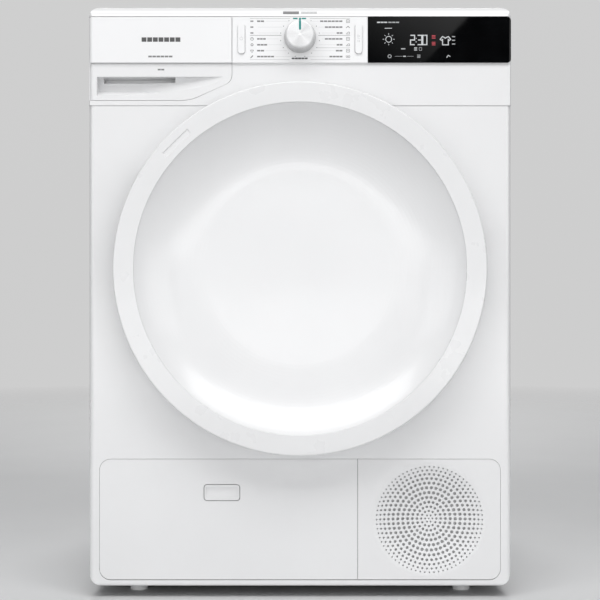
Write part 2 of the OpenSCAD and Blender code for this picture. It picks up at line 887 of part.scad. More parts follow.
module door_seal() {
    color([0.45, 0.46, 0.48])
    turned([0, sheet_y, door_z])
        polygon([[197.4, -13], [202.7, -13], [202.7, 0.6], [206, 1.2], [205.6, 2.2], [201.4, 3],
                 [198.6, 2.2], [197.4, -2]]);
}

// ---------- drum and bulkheads ----------

module bulkhead_outline(r) {
    intersection() {
        translate([0, drum_z]) circle(r);
        translate([-284, 0]) square([568, 900]);
    }
    translate([-284, 203]) square([568, drum_z - 203]);
}

function roller_centre(side) = [
    side * (drum_r + roller_r + run_gap) * sin(roller_angle),
    drum_z - (drum_r + roller_r + run_gap) * cos(roller_angle)
];

module front_bulkhead() {
    mouth = 197;
    color([0.62, 0.63, 0.65]) {
        along_y(-236, -233)
            difference() {
                bulkhead_outline(290);
                translate([0, door_z]) circle(mouth);
            }
        tube([0, door_z], mouth + 3, mouth, sheet_y + 13.5, -236);
        tube([0, drum_z], 241.5, 238.6, -233, -217);
        for (side = [-1, 1])
            rod(roller_centre(side), 8, -233, -194);
    }
}

module front_felt() {
    color([0.85, 0.83, 0.76])
    tube([0, drum_z], 244.6, 241.6, -232.8, -218);
}

module rear_bulkhead() {
    color([0.62, 0.63, 0.65]) {
        along_y(250, 252.5)
            difference() {
                bulkhead_outline(290);
                translate([0, drum_z]) circle(22);
                for (a = [22.5:45:360])
                    translate([0, drum_z]) rotate(a)
                        intersection() {
                            difference() {
                                circle(190);
                                circle(80);
                            }
                            polygon([[0, 0], [250, -80], [250, 80]]);
                        }
            }
        tube([0, drum_z], 22, 16, 240, 258);
        tube([0, drum_z], 217, 215, 252.5, 295);
    }
}

module shaft_bearing() {
    color([0.7, 0.6, 0.35])
    tube([0, drum_z], 16, 10.05, 241, 257);
}

module heater() {
    color([0.6, 0.6, 0.62]) {
        difference() {
            block([-60, 266, 330], [60, 290, 400]);
            block([-57, 265, 333], [57, 291, 397]);
        }
        for (z = [342:11:390])
            along_x(-57, 57) translate([278, z]) circle(3.2);
    }
}

module drum_shell() {
    color(steel)
    tube([0, drum_z], drum_r, drum_r - sheet, drum_front, drum_rear);
}

module drum_front_ring() {
    color(steel) {
        tube([0, drum_z], drum_r - sheet - 0.05, mouth_r, drum_front, drum_front + sheet);
        tube([0, drum_z], mouth_r + sheet, mouth_r, drum_front + sheet, drum_front + 10);
    }
}

// Perforated back wall with its welded hub and shaft
module drum_back() {
    color(steel) {
        rod([0, drum_z], 70, drum_rear, drum_rear + 4);
        rod([0, drum_z], 10, drum_rear, 262);
        along_y(drum_rear - sheet, drum_rear)
            difference() {
                translate([0, drum_z]) circle(drum_r - sheet - 0.05);
                for (k = [0:3])
                    for (i = [0:19 + 4 * k])
                        translate([0, drum_z]) rotate(360 * i / (20 + 4 * k))
                            translate([100 + 22 * k, 0]) circle(5);
            }
    }
}

module drum_lifters() {
    reach = 46;
    foot_half = 26;
    top_half = 9;
    wall_r = drum_r - sheet - 0.1;
    root = sqrt(wall_r * wall_r - foot_half * foot_half);
    color([0.85, 0.86, 0.88])
    for (a = [90, 210, 330])
        translate([0, 0, drum_z]) rotate([0, -a, 0])
            along_y(drum_front + 20, drum_rear - 20)
                polygon(concat(
                    [[root, -foot_half], [root - 8, -foot_half + 3]],
                    arc([wall_r - reach + top_half, 0], top_half, 250, 110, 8),
                    [[root - 8, foot_half - 3], [root, foot_half]]
                ));
}

module support_roller(side) {
    centre = roller_centre(side);
    color([0.3, 0.3, 0.32]) {
        tube(centre, roller_r, roller_r - 5, -226, -198);
        tube(centre, roller_r - 5, 14, -214, -210);
        tube(centre, 14, 8.05, -224, -200);
    }
}

// ---------- drive ----------

// The belt's two straight runs leave both circles at these angles
belt_big = drum_r + run_gap + belt_t / 2;
belt_small = pulley_r + run_gap + belt_t / 2;
belt_lean = atan2(motor_z - drum_z, motor_x);
belt_spread = acos((belt_big - belt_small) / sqrt(pow(motor_x, 2) + pow(motor_z - drum_z, 2)));
belt_up = belt_lean + belt_spread;
belt_down = belt_lean - belt_spread;

// Where a run at angle a leaves the drum's circle and the pulley's, at radius offset t
function belt_at_drum(a, t) = [0, drum_z] + (belt_big + t) * [cos(a), sin(a)];
function belt_at_motor(a, t) = [motor_x, motor_z] + (belt_small + t) * [cos(a), sin(a)];

// The part of the belt that lies on a round surface
module belt_wrap(centre, r, a0, a1) {
    translate([centre[0], belt_y + belt_w / 2, centre[1]])
        rotate([90, 0, 0]) rotate([0, 0, a0]) rotate_extrude(angle = a1 - a0, $fn = 180)
            translate([r - belt_t / 2, 0]) square([belt_t, belt_w]);
}

// The straight part between the two circles at angle a, a hair slimmer than the
// wraps and carried a little way into both
module belt_run(a) {
    half = belt_t / 2 - belt_step;
    along = sign(sin(a - belt_lean)) * belt_bite * [-sin(a), cos(a)];
    along_y(belt_y - belt_w / 2 + belt_step, belt_y + belt_w / 2 - belt_step)
        polygon([belt_at_drum(a, -half) + along, belt_at_drum(a, half) + along,
                 belt_at_motor(a, half) - along, belt_at_motor(a, -half) - along]);
}

module drive_belt() {
    color(dark) {
        belt_wrap([0, drum_z], belt_big, belt_up, belt_down + 360);
        belt_wrap([motor_x, motor_z], belt_small, belt_down, belt_up);
        belt_run(belt_up);
        belt_run(belt_down);
    }
}

// Centre of the idler, outside the middle of the belt's slack run
function idler_centre() =
    (belt_at_drum(belt_down, 0) + belt_at_motor(belt_down, 0)) / 2
    + (belt_t / 2 + run_gap + idler_r) * [cos(belt_down), sin(belt_down)];

module idler_wheel() {
    c = idler_centre();
    color(dark)
    tube(c, idler_r, 4.05, belt_y - 6, belt_y + 6);
}

module idler_arm() {
    c = idler_centre();
    p = idler_pivot;
    span = sqrt(pow(c[0] - p[0], 2) + pow(c[1] - p[1], 2));
    turn = atan2(c[1] - p[1], c[0] - p[0]);
    color(steel) {
        rod(c, 4, belt_y - 7, belt_y + 9);
        along_y(belt_y + 9, belt_y + 13)
            difference() {
                union() {
                    translate(c) circle(9);
                    translate(p) circle(12);
                    translate(p) rotate(turn) translate([0, -8]) square([span, 16]);
                }
                translate(p) circle(5.05);
            }
        tube(p, 10, 5.05, belt_y + 13, belt_y + 28);
    }
}

module motor_body() {
    shell_r = 55;
    color([0.5, 0.5, 0.52]) {
        difference() {
            union() {
                rod([motor_x, motor_z], shell_r, -40, 70);
                rod([motor_x, motor_z], 30, -52, 82);
                for (y = [-30, 44])
                    block([motor_x - 45, y, 26], [motor_x + 45, y + 16, motor_z - 20]);
            }
            rod([motor_x, motor_z], 36, -34, 64);
            rod([motor_x, motor_z], 5.06, -60, 90);
        }
        difference() {
            union() {
                block([idler_pivot[0] - 8, belt_y + 30, 26],
                      [idler_pivot[0] + 8, belt_y + 36, idler_pivot[1]]);
                rod(idler_pivot, 8, belt_y + 30, belt_y + 36);
                rod(idler_pivot, 5, belt_y + 8, belt_y + 30);
                block([idler_pivot[0] + 8, belt_y + 30, 26], [motor_x - 44, belt_y + 36, 40]);
                block([motor_x - 50, belt_y + 30, 26], [motor_x - 44, -30, 40]);
                block([motor_x - 50, -30, 26], [motor_x - 45, -14, 40]);
            }
        }
    }
}

module motor_shaft() {
    axis = [motor_x, motor_z];
    color(steel) {
        rod(axis, 5, -234, 236);
        rod(axis, pulley_r, belt_y - 8, belt_y + 8);
        rod(axis, 10.5, belt_y - 8, belt_y - 5.6);
        rod(axis, 10.5, belt_y + 5.6, belt_y + 8);
        rod(axis, 34.8, -28, 58);
    }
}

module cooling_fan() {
    blades = 9;
    color([0.2, 0.2, 0.22])
    difference() {
        union() {
            rod([motor_x, motor_z], 17, -234, -212);
            for (i = [0:blades - 1])
                translate([motor_x, -223, motor_z]) rotate([0, 360 * i / blades, 0])
                    translate([14, 0, 0]) rotate([35, 0, 0]) translate([0, -11, -1]) cube([50, 22, 2]);
        }
        rod([motor_x, motor_z], 5.02, -240, -200);
    }
}

module process_fan() {
    blades = 24;
    color([0.2, 0.2, 0.22])
    difference() {
        union() {
            rod([motor_x, motor_z], 14, 198, 226);
            rod([motor_x, motor_z], 72, 224, 226);
            for (i = [0:blades - 1])
                translate([motor_x, 0, motor_z]) rotate([0, 360 * i / blades, 0])
                    translate([54, 0, 0]) rotate([0, 40, 0]) block([0, 198, -0.8], [20, 224.5, 0.8]);
            tube([motor_x, motor_z], 71, 54, 196, 198);
        }
        rod([motor_x, motor_z], 5.02, 190, 240);
    }
}

// ---------- condensing unit and services ----------

module exchanger_core() {
    fins = 13;
    pitch = 10;
    low = 50;
    color([0.75, 0.76, 0.78])
    difference() {
        block([-256, -226, low], [-74, 140, 184]);
        for (i = [0:fins - 1])
            if (i % 2 == 0)
                block([-250, -226 - over, low + 3 + i * pitch], [-80, 140 + over, low + 11.4 + i * pitch]);
            else
                block([-256 - over, -216, low + 3 + i * pitch], [-74 + over, 130, low + 11.4 + i * pitch]);
    }
}

module exchanger_cover() {
    color([0.25, 0.25, 0.27])
    difference() {
        union() {
            along_y(-255, -247.2) rounded([-266, 47], [-64, 193], 6);
            along_y(-247.2, -226.4) rounded([-260, 50], [-70, 188], 3);
            block([-200, -262, 70], [-192, -255, 82]);
            block([-138, -262, 70], [-130, -255, 82]);
            block([-200, -265, 70], [-130, -262, 82]);
        }
        for (x = lever_x) rod([x, lever_z], 3.1, -256, -248.8);
    }
}

module exchanger_lever(x) {
    reach = 30;
    color([0.25, 0.45, 0.7]) {
        along_y(-260.5, -255.5) {
            translate([x, lever_z]) circle(7);
            translate([x - 5.5, lever_z]) square([11, reach]);
            translate([x, lever_z + reach]) circle(5.5);
        }
        rod([x, lever_z], 3, -256, -249);
    }
}

module drain_pump() {
    color([0.8, 0.8, 0.82]) {
        block([-30, 200, 26], [40, 260, 60]);
        translate([5, 230, 60]) cylinder(r = 24, h = 40);
        rod([30, 48], 5, 260, 280);
    }
}

module drain_spigot() {
    color([0.85, 0.85, 0.86])
    difference() {
        union() {
            rod([-250, 740], 8.9, 286, rear_y);
            rod([-250, 740], 15, rear_y, rear_y + 2);
            rod([-250, 740], 7, rear_y + 2, depth / 2);
        }
        rod([-250, 740], 4.5, 280, depth / 2 + over);
    }
}

module power_gland() {
    color(dark)
    difference() {
        union() {
            rod([235, 700], 11.9, 284, rear_y);
            rod([235, 700], 17, rear_y, rear_y + 4);
            rod([235, 700], 9, rear_y + 4, rear_y + 13);
        }
        rod([235, 700], 4.2, 280, depth / 2 + over);
    }
}

module rear_screws() {
    color([0.35, 0.35, 0.36])
    for (p = [for (x = [-291, 291]) for (z = [60, 230, 420, 610, 790]) [x, z],
              for (a = [0:45:315]) [221 * cos(a), drum_z + 221 * sin(a)]])
        translate([p[0], 0, p[1]])
            rotate([0, 0, 180])
                turned([0, -rear_y - 0.02 - (abs(p[0]) > 280 ? 0 : 1.65), 0])
                    polygon([[0, 0], [4, 0], [3.6, 1.6], [1.2, 2.2], [0, 2.2]]);
}

// ---------- nodes ----------

side_panel(-1);  // side_panel_left
side_panel(1);  // side_panel_right
rear_panel();
rear_cover();
worktop();
front_panel();
control_housing();
fascia_plate();
display_glass();
display_board();
tank_bay();
base_unit();
grille_panel();
front_bulkhead();
front_felt();
rear_bulkhead();
shaft_bearing();
heater();
door_seal();
door_catch();
hinge_bracket();
motor_body();
exchanger_core();
exchanger_cover();
exchanger_lever(lever_x[0]);  // lever_left
exchanger_lever(lever_x[1]);  // lever_right
drain_pump();
drain_spigot();
power_gland();
drive_belt();
rear_screws();
foot(-foot_x, foot_front_y);  // foot_front_left
foot(foot_x, foot_front_y);  // foot_front_right
foot(-foot_x, foot_rear_y);  // foot_rear_left
foot(foot_x, foot_rear_y);  // foot_rear_right
door_ring();
door_dish();
door_back();
hinge_leaf();
door_screws();
lint_filter();
drum_shell();
drum_front_ring();
drum_back();
drum_lifters();
support_roller(-1);  // roller_left
support_roller(1);  // roller_right
motor_shaft();
cooling_fan();
process_fan();
idler_arm();
idler_wheel();
selector_knob();
pill_button(-83);  // power_button
pill_button(83);  // start_button
tank_fascia();
tank_grip();
water_tank();
access_flap();
flap_button();
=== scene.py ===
"""Looks of a freestanding clothes dryer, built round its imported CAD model.

Sizes and places are in millimetres and become metres when a mesh is made.
X is right, Y is back and Z is up, as in the CAD model, so the front of the
machine faces -Y.
"""

import json
import math

import bmesh
import bpy
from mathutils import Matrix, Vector
from mathutils.geometry import delaunay_2d_cdt


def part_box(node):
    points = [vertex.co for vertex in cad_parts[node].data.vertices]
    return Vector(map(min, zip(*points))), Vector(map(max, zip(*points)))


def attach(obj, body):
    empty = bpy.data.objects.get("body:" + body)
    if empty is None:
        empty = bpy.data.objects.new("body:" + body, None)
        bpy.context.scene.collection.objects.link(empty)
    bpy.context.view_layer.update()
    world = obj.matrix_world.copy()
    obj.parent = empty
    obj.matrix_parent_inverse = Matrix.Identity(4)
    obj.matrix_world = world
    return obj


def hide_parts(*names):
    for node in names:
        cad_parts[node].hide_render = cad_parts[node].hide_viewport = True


MM = 0.001

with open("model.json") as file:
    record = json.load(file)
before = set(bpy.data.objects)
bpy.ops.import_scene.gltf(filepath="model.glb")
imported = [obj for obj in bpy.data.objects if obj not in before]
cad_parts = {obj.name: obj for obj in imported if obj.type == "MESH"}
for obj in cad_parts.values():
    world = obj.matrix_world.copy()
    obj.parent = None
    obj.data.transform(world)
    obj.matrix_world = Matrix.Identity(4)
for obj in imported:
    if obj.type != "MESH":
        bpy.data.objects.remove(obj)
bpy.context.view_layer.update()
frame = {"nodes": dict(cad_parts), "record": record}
nodes = frame["nodes"]


def node_box(name):
    """Lowest and highest corner of a CAD node, in millimetres."""
    low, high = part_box(name)
    return low / MM, high / MM


# ---------------------------------------------------------------- camera

EYE = Vector((0, -1970, 423.5))
LENS_MM = 71.8
SENSOR_MM = 36


def make_camera():
    camera = bpy.data.objects.new("camera", bpy.data.cameras.new("camera"))
    camera.data.lens = LENS_MM
    camera.data.sensor_width = SENSOR_MM
    camera.location = EYE * MM
    camera.rotation_euler = (math.pi / 2, 0, 0)
    bpy.context.scene.collection.objects.link(camera)
    bpy.context.scene.camera = camera


make_camera()


# ------------------------------------------------------------- materials


class Look:
    """A Principled material whose patterns sit in the object's own space."""

    def __init__(self, name, **constants):
        self.material = bpy.data.materials.new(name)
        self.material.use_nodes = True
        self.tree = self.material.node_tree
        self.shader = self.tree.nodes["Principled BSDF"]
        for socket, value in constants.items():
            self.shader.inputs[socket.replace("_", " ")].default_value = value
        self.place = self.add("ShaderNodeTexCoord").outputs["Object"]

    def add(self, kind, **settings):
        node = self.tree.nodes.new(kind)
        for key, value in settings.items():
            setattr(node, key, value)
        return node

    def link(self, source, target):
        self.tree.links.new(source, target)

    def placed(self, centre=(0, 0, 0), stretch=(1, 1, 1), turn=(0, 0, 0)):
        """Coordinates with their origin at centre, turned, then stretched."""
        moved = self.add("ShaderNodeMapping")
        moved.inputs["Location"].default_value = [-c * MM for c in centre]
        self.link(self.place, moved.inputs["Vector"])
        shaped = self.add("ShaderNodeMapping")
        shaped.inputs["Rotation"].default_value = turn
        shaped.inputs["Scale"].default_value = stretch
        self.link(moved.outputs["Vector"], shaped.inputs["Vector"])
        return shaped.outputs["Vector"]

    def noise(self, size, detail=3, stretch=(1, 1, 1)):
        """Soft patches about size millimetres across."""
        node = self.add("ShaderNodeTexNoise")
        node.inputs["Scale"].default_value = 1 / (size * MM)
        node.inputs["Detail"].default_value = detail
        self.link(self.placed(stretch=stretch), node.inputs["Vector"])
        return node.outputs["Fac"]

    def cells(self, size, output="Color", stretch=(1, 1, 1), feature="F1"):
        """Cells about size millimetres across."""
        node = self.add("ShaderNodeTexVoronoi", feature=feature)
        node.inputs["Scale"].default_value = 1 / (size * MM)
        self.link(self.placed(stretch=stretch), node.inputs["Vector"])
        return node.outputs[output]

    def bands(self, pitch, axis, profile="SIN"):
        """Straight bands across an axis, one every pitch millimetres."""
        node = self.add("ShaderNodeTexWave", bands_direction=axis, wave_profile=profile)
        # The node makes 20 radians of wave for each unit of its scale
        node.inputs["Scale"].default_value = 2 * math.pi / (20 * pitch * MM)
        self.link(self.place, node.inputs["Vector"])
        return node.outputs["Fac"]

    def spokes(self, centre):
        """0 to 1 once round an axis along Y through centre."""
        node = self.add("ShaderNodeTexGradient", gradient_type="RADIAL")
        vector = self.placed(centre, turn=(math.pi / 2, 0, 0))
        self.link(vector, node.inputs["Vector"])
        return node.outputs["Fac"]

    def ramp(self, fac, stops):
        """Colours at places from 0 to 1."""
        node = self.add("ShaderNodeValToRGB")
        elements = node.color_ramp.elements
        while len(elements) < len(stops):
            elements.new(0.5)
        for element, (place, colour) in zip(elements, stops):
            element.position = place
            element.color = (*colour, 1)
        self.link(fac, node.inputs["Fac"])
        return node.outputs["Color"]

    def colour(self, fac, dark, light, low=0.3, high=0.7):
        self.link(self.ramp(fac, [(low, dark), (high, light)]),
                  self.shader.inputs["Base Color"])
        return self

    def gloss(self, fac, low, high):
        """Roughness from low to high."""
        node = self.add("ShaderNodeMapRange")
        node.inputs["To Min"].default_value = low
        node.inputs["To Max"].default_value = high
        self.link(fac, node.inputs["Value"])
        self.link(node.outputs["Result"], self.shader.inputs["Roughness"])
        return self

    def relief(self, fac, depth, strength=1.0):
        """A bump depth millimetres high, on top of any made before."""
        node = self.add("ShaderNodeBump")
        node.inputs["Distance"].default_value = depth * MM
        node.inputs["Strength"].default_value = strength
        self.link(fac, node.inputs["Height"])
        normal = self.shader.inputs["Normal"]
        if normal.is_linked:
            self.link(normal.links[0].from_socket, node.inputs["Normal"])
        self.link(node.outputs["Normal"], normal)
        return self


def shade(value, tint=(1, 1, 1)):
    return tuple(value * t for t in tint)


COOL = (0.998, 1.0, 1.008)


def moulded(name, light, rough, dark=None, grain=0.25, depth=0.006, tint=COOL, **more):
    """Moulded plastic: a fine even grain, with slow changes of tone and gloss."""
    look = Look(name, **more)
    low = shade(light * 0.965 if dark is None else dark, tint)
    look.colour(look.noise(180, 2), low, shade(light, tint))
    look.gloss(look.noise(40, 4), rough - 0.03, rough + 0.03)
    look.relief(look.noise(grain, 2), depth)
    look.relief(look.noise(70, 1), depth * 2)
    return look.material


def enamel(name, light, rough=0.24):
    """Sprayed enamel on steel sheet: orange peel under a glossy coat."""
    look = Look(name, Coat_Weight=0.35, Coat_Roughness=0.12)
    look.colour(look.noise(240, 2), shade(light * 0.97, COOL), shade(light, COOL))
    look.gloss(look.noise(9, 3), rough - 0.04, rough + 0.05)
    look.relief(look.noise(2.2, 1), 0.01)
    look.relief(look.noise(60, 1), 0.05)
    return look.material


def galvanised(name, value=0.55):
    """Zinc on steel sheet: dull spangles with a faint rolling grain."""
    look = Look(name, Metallic=0.85)
    look.colour(look.cells(11), shade(value * 0.78, COOL), shade(value, COOL), 0.2, 0.8)
    look.gloss(look.cells(11), 0.36, 0.52)
    look.relief(look.noise(1.2, 3), 0.012)
    look.relief(look.noise(0.9, 2, stretch=(1, 1, 0.05)), 0.008)
    return look.material


def brushed(name, value, stretch, rough=0.3, tint=COOL):
    """Metal brushed in the directions where stretch is small."""
    look = Look(name, Metallic=1.0)
    lines = look.noise(0.8, 4, stretch=stretch)
    look.colour(lines, shade(value * 0.82, tint), shade(value, tint))
    look.gloss(lines, rough - 0.08, rough + 0.1)
    look.relief(lines, 0.008)
    return look.material


def drum_metal(name):
    """Stainless sheet brushed round the drum, pressed into soft cushions."""
    look = Look(name, Metallic=1.0)
    lines = look.noise(0.9, 4, stretch=(0.02, 1, 0.02))
    look.colour(lines, shade(0.5, COOL), shade(0.66, COOL))
    look.gloss(lines, 0.2, 0.36)
    look.relief(look.cells(24, "Distance", feature="SMOOTH_F1"), 0.9)
    look.relief(lines, 0.006)
    return look.material


def laminate(name):
    """White melamine on board, with a faint pearl texture."""
    look = Look(name)
    look.colour(look.noise(30, 4), shade(0.8, COOL), shade(0.845, COOL))
    look.gloss(look.noise(4, 4), 0.34, 0.46)
    look.relief(look.noise(0.7, 4), 0.02)
    return look.material


def glass(name):
    """Polished black glass with the faintest smears."""
    look = Look(name, IOR=1.5)
    look.colour(look.noise(40, 2), (0.0012, 0.0013, 0.0015), (0.003, 0.0032, 0.0036))
    look.gloss(look.noise(30, 4, stretch=(1, 1, 3)), 0.015, 0.05)
    return look.material


def turned(name, centre):
    """Turned metal: fine rings, and fan-shaped highlights that they throw, painted into the
    base colour round the centre, with painted shade down the side.
    """
    look = Look(name, Metallic=0.2)
    # Painted highlights: light and dark fan-shaped sectors in the base colour round the centre
    painted_fan_highlights = [(0.0, 0.84), (0.08, 0.92), (0.19, 0.95), (0.3, 0.88), (0.37, 0.76),
            (0.46, 0.9), (0.56, 0.8), (0.63, 0.92), (0.72, 0.8), (0.8, 0.76),
            (0.88, 0.9), (1.0, 0.84)]
    colours = look.ramp(look.spokes(centre), [(at, shade(v, COOL)) for at, v in painted_fan_highlights])
    # Painted shade: the side is painted darker from the face to the foot, for the shadow on its
    # underside
    depth = look.add("ShaderNodeTexGradient", gradient_type="LINEAR")
    reach = 1 / (22 * MM)
    look.link(look.placed((0, node_box("selector_knob")[0].y, 0), (reach,) * 3,
                          (0, 0, -math.pi / 2)), depth.inputs["Vector"])
    painted_skirt_shade = look.ramp(depth.outputs["Fac"], [(0.02, (1.0,) * 3), (0.16, (0.8,) * 3),
                                             (1.0, (0.5,) * 3)])
    both = look.add("ShaderNodeMix", data_type="RGBA", blend_type="MULTIPLY")
    both.inputs["Factor"].default_value = 1.0
    look.link(colours, both.inputs["A"])
    look.link(painted_skirt_shade, both.inputs["B"])
    look.link(both.outputs["Result"], look.shader.inputs["Base Color"])
    rings = look.add("ShaderNodeTexWave", wave_type="RINGS", rings_direction="Y")
    rings.inputs["Scale"].default_value = 2 * math.pi / (20 * 0.35 * MM)
    look.link(look.placed(centre), rings.inputs["Vector"])
    look.gloss(rings.outputs["Fac"], 0.26, 0.36)
    look.relief(rings.outputs["Fac"], 0.004)
    return look.material


def rubber(name, value, rough=0.6):
    look = Look(name)
    look.colour(look.noise(20, 4), shade(value * 0.8), shade(value))
    look.gloss(look.noise(5, 4), rough - 0.1, rough + 0.1)
    look.relief(look.noise(0.6, 4), 0.03)
    return look.material


def felt(name):
    """Pressed wool felt: fibres and a soft sheen."""
    look = Look(name, Roughness=0.95, Sheen_Weight=0.4, Sheen_Roughness=0.5)
    fibres = look.noise(1.1, 8, stretch=(1, 0.3, 1))
    look.colour(fibres, (0.42, 0.39, 0.31), (0.66, 0.63, 0.54))
    look.relief(fibres, 0.4)
    return look.material


def cast(name, value, tint, metallic, rough=0.5):
    """Cast or sintered metal: a fine pitted skin."""
    look = Look(name, Metallic=metallic)
    look.colour(look.noise(6, 5), shade(value * 0.7, tint), shade(value, tint))
    look.gloss(look.noise(3, 3), rough - 0.1, rough + 0.1)
    look.relief(look.cells(1.4, "Distance"), 0.05)
    return look.material


def finned(name):
    """A block of thin aluminium fin plates, with painted shade: the dark bands in the colour
    stand for the shaded gaps between the plates.
    """
    look = Look(name, Metallic=0.9, Roughness=0.35)
    fin_bands_and_gap_shade = look.bands(2.4, "X")
    # Painted shade: dark bands for the gaps between the plates
    look.colour(fin_bands_and_gap_shade, (0.1, 0.1, 0.1), (0.72, 0.73, 0.74), 0.35, 0.6)
    look.relief(fin_bands_and_gap_shade, 1.0)
    return look.material


def laminations(name):
    """A stack of punched steel sheets under varnish."""
    look = Look(name, Metallic=0.7, Roughness=0.42)
    sheets = look.bands(1.3, "Y")
    look.colour(sheets, (0.12, 0.12, 0.13), (0.36, 0.36, 0.38), 0.3, 0.7)
    look.relief(sheets, 0.2)
    return look.material


def circuit_board(name):
    """Green solder mask over straight copper tracks."""
    look = Look(name, Roughness=0.35)
    tracks = look.add("ShaderNodeTexBrick")
    tracks.inputs["Scale"].default_value = 90
    tracks.inputs["Mortar Size"].default_value = 0.06
    tracks.inputs["Color1"].default_value = (0.012, 0.11, 0.045, 1)
    tracks.inputs["Color2"].default_value = (0.018, 0.14, 0.06, 1)
    tracks.inputs["Mortar"].default_value = (0.05, 0.26, 0.12, 1)
    look.link(look.placed(turn=(math.pi / 2, 0, 0)), tracks.inputs["Vector"])
    look.link(tracks.outputs["Color"], look.shader.inputs["Base Color"])
    look.relief(tracks.outputs["Fac"], 0.06)
    return look.material


def milky(name):
    """Milky blown plastic that lets a little light through."""
    look = Look(name, Transmission_Weight=0.25, IOR=1.49)
    look.colour(look.noise(70, 3), (0.62, 0.67, 0.71), (0.72, 0.76, 0.8))
    look.gloss(look.noise(8, 3), 0.4, 0.55)
    look.relief(look.noise(0.8, 3), 0.02)
    return look.material


def fine_mesh(name):
    """Filter frame with the weave of its screen."""
    look = Look(name, Roughness=0.5)
    threads = look.add("ShaderNodeMath", operation="MULTIPLY")
    look.link(look.bands(1.1, "X"), threads.inputs[0])
    look.link(look.bands(1.1, "Z"), threads.inputs[1])
    look.colour(threads.outputs["Value"], (0.09, 0.23, 0.25), (0.2, 0.42, 0.44), 0.1, 0.6)
    look.relief(threads.outputs["Value"], 0.25)
    return look.material


def ink(name, value, tint=COOL, glow=0.0):
    """Screen-printed ink, or a lit symbol where it glows."""
    look = Look(name, Emission_Strength=glow)
    patches = look.noise(3, 2)
    look.colour(patches, shade(value * 0.88, tint), shade(value, tint))
    look.gloss(patches, 0.45, 0.6)
    look.relief(look.noise(0.3, 2), 0.004)
    if glow:
        look.link(look.ramp(patches, [(0.3, shade(0.8, tint)), (0.7, tint)]),
                  look.shader.inputs["Emission Color"])
    return look.material


WHITE = moulded("white_plastic", 0.86, 0.32, Coat_Weight=0.15, Coat_Roughness=0.2)
DIAL_CENTRE = (0, 0, (node_box("selector_knob")[0].z + node_box("selector_knob")[1].z) / 2)

SLOT_LOOKS = {
    "white_enamel": enamel("white_enamel", 0.79),
    "white_plastic": WHITE,
    "worktop_board": laminate("worktop_board"),
    "zinc_sheet": galvanised("zinc_sheet"),
    "drum_steel": drum_metal("drum_steel"),
    "black_glass": glass("black_glass"),
    "dial_finish": turned("dial_finish", DIAL_CENTRE),
    "dark_plastic": moulded("dark_plastic", 0.035, 0.45, dark=0.024, depth=0.02),
    "grey_plastic": moulded("grey_plastic", 0.5, 0.42, depth=0.015),
    "tank_plastic": milky("tank_plastic"),
    "filter_plastic": fine_mesh("filter_plastic"),
    "lever_plastic": moulded("lever_plastic", 0.3, 0.4, tint=(0.25, 0.6, 1.0)),
    "board": circuit_board("board"),
    "grey_rubber": rubber("grey_rubber", 0.16),
    "black_rubber": rubber("black_rubber", 0.02),
    "felt": felt("felt"),
    "bronze": cast("bronze", 0.55, (1.0, 0.72, 0.38), 1.0),
    "fin_aluminium": finned("fin_aluminium"),
    "motor_steel": laminations("motor_steel"),
    "shaft_steel": brushed("shaft_steel", 0.6, (0.04, 1, 0.04), 0.22),
}

NODE_LOOKS = {
    "access_flap": "flap_plastic",
    "flap_button": "flap_plastic",
    # Painted shade: the control housing and the drawer's grip get a darker copy of the white
    # plastic
    "control_housing": "housing_plastic_painted_shade",
    "tank_grip": "housing_plastic_painted_shade",
    "door_ring": "door_plastic",
    "door_dish": "dish_plastic",
    "foot_front_left": "foot_plastic",
    "foot_front_right": "foot_plastic",
    "foot_rear_left": "foot_plastic",
    "foot_rear_right": "foot_plastic",
}

EXTRA_LOOKS = {
    "flap_plastic": moulded("flap_plastic", 0.78, 0.33, Coat_Weight=0.1),
    # Painted shade: a darker copy of the fascia's white plastic, standing in for the duller
    # light below the fascia
    "housing_plastic_painted_shade": moulded("housing_plastic_painted_shade", 0.79, 0.32, Coat_Weight=0.15),
    "foot_plastic": moulded("foot_plastic", 0.78, 0.45, depth=0.015),
    "door_plastic": moulded("door_plastic", 0.775, 0.28, Coat_Weight=0.3, Coat_Roughness=0.1),
    "dish_plastic": moulded("dish_plastic", 0.82, 0.26, Coat_Weight=0.3, Coat_Roughness=0.1),
}


def dress_nodes():
    """Gives every CAD node the look of its slot, or its own."""
    for part in frame["record"]["subparts"]:
        name = part["node"]
        if name in NODE_LOOKS:
            material = EXTRA_LOOKS[NODE_LOOKS[name]]
        else:
            material = SLOT_LOOKS[part["material_slot"]]
        mesh = nodes[name].data
        mesh.materials.clear()
        mesh.materials.append(material)


dress_nodes()


# ---------------------------------------------------------- mesh helpers


def add_piece(name, bm, body, material, crease=35):
    """Turns a bmesh in millimetres into a piece that rides on a body."""
    bmesh.ops.recalc_face_normals(bm, faces=bm.faces)
    bmesh.ops.scale(bm, vec=(MM, MM, MM), verts=bm.verts)
    mesh = bpy.data.meshes.new(name)
    bm.to_mesh(mesh)
    bm.free()
    mesh.materials.append(material)
    mesh.shade_smooth()
    mesh.set_sharp_from_angle(angle=math.radians(crease))
    piece = bpy.data.objects.new(name, mesh)
    bpy.context.scene.collection.objects.link(piece)
    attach(piece, body)
    return piece


def circle(x, z, r, count=20, start=0.0):
    """Points round a circle in the front plane."""
    turn = 2 * math.pi / count
    return [(x + r * math.cos(start + i * turn), z + r * math.sin(start + i * turn))
            for i in range(count)]


def bend(x, z, r, a0, a1, count=8):
    """Points along an arc in the front plane, with its angles in degrees."""
    angles = [math.radians(a0 + (a1 - a0) * i / count) for i in range(count + 1)]
    return [(x + r * math.cos(a), z + r * math.sin(a)) for a in angles]


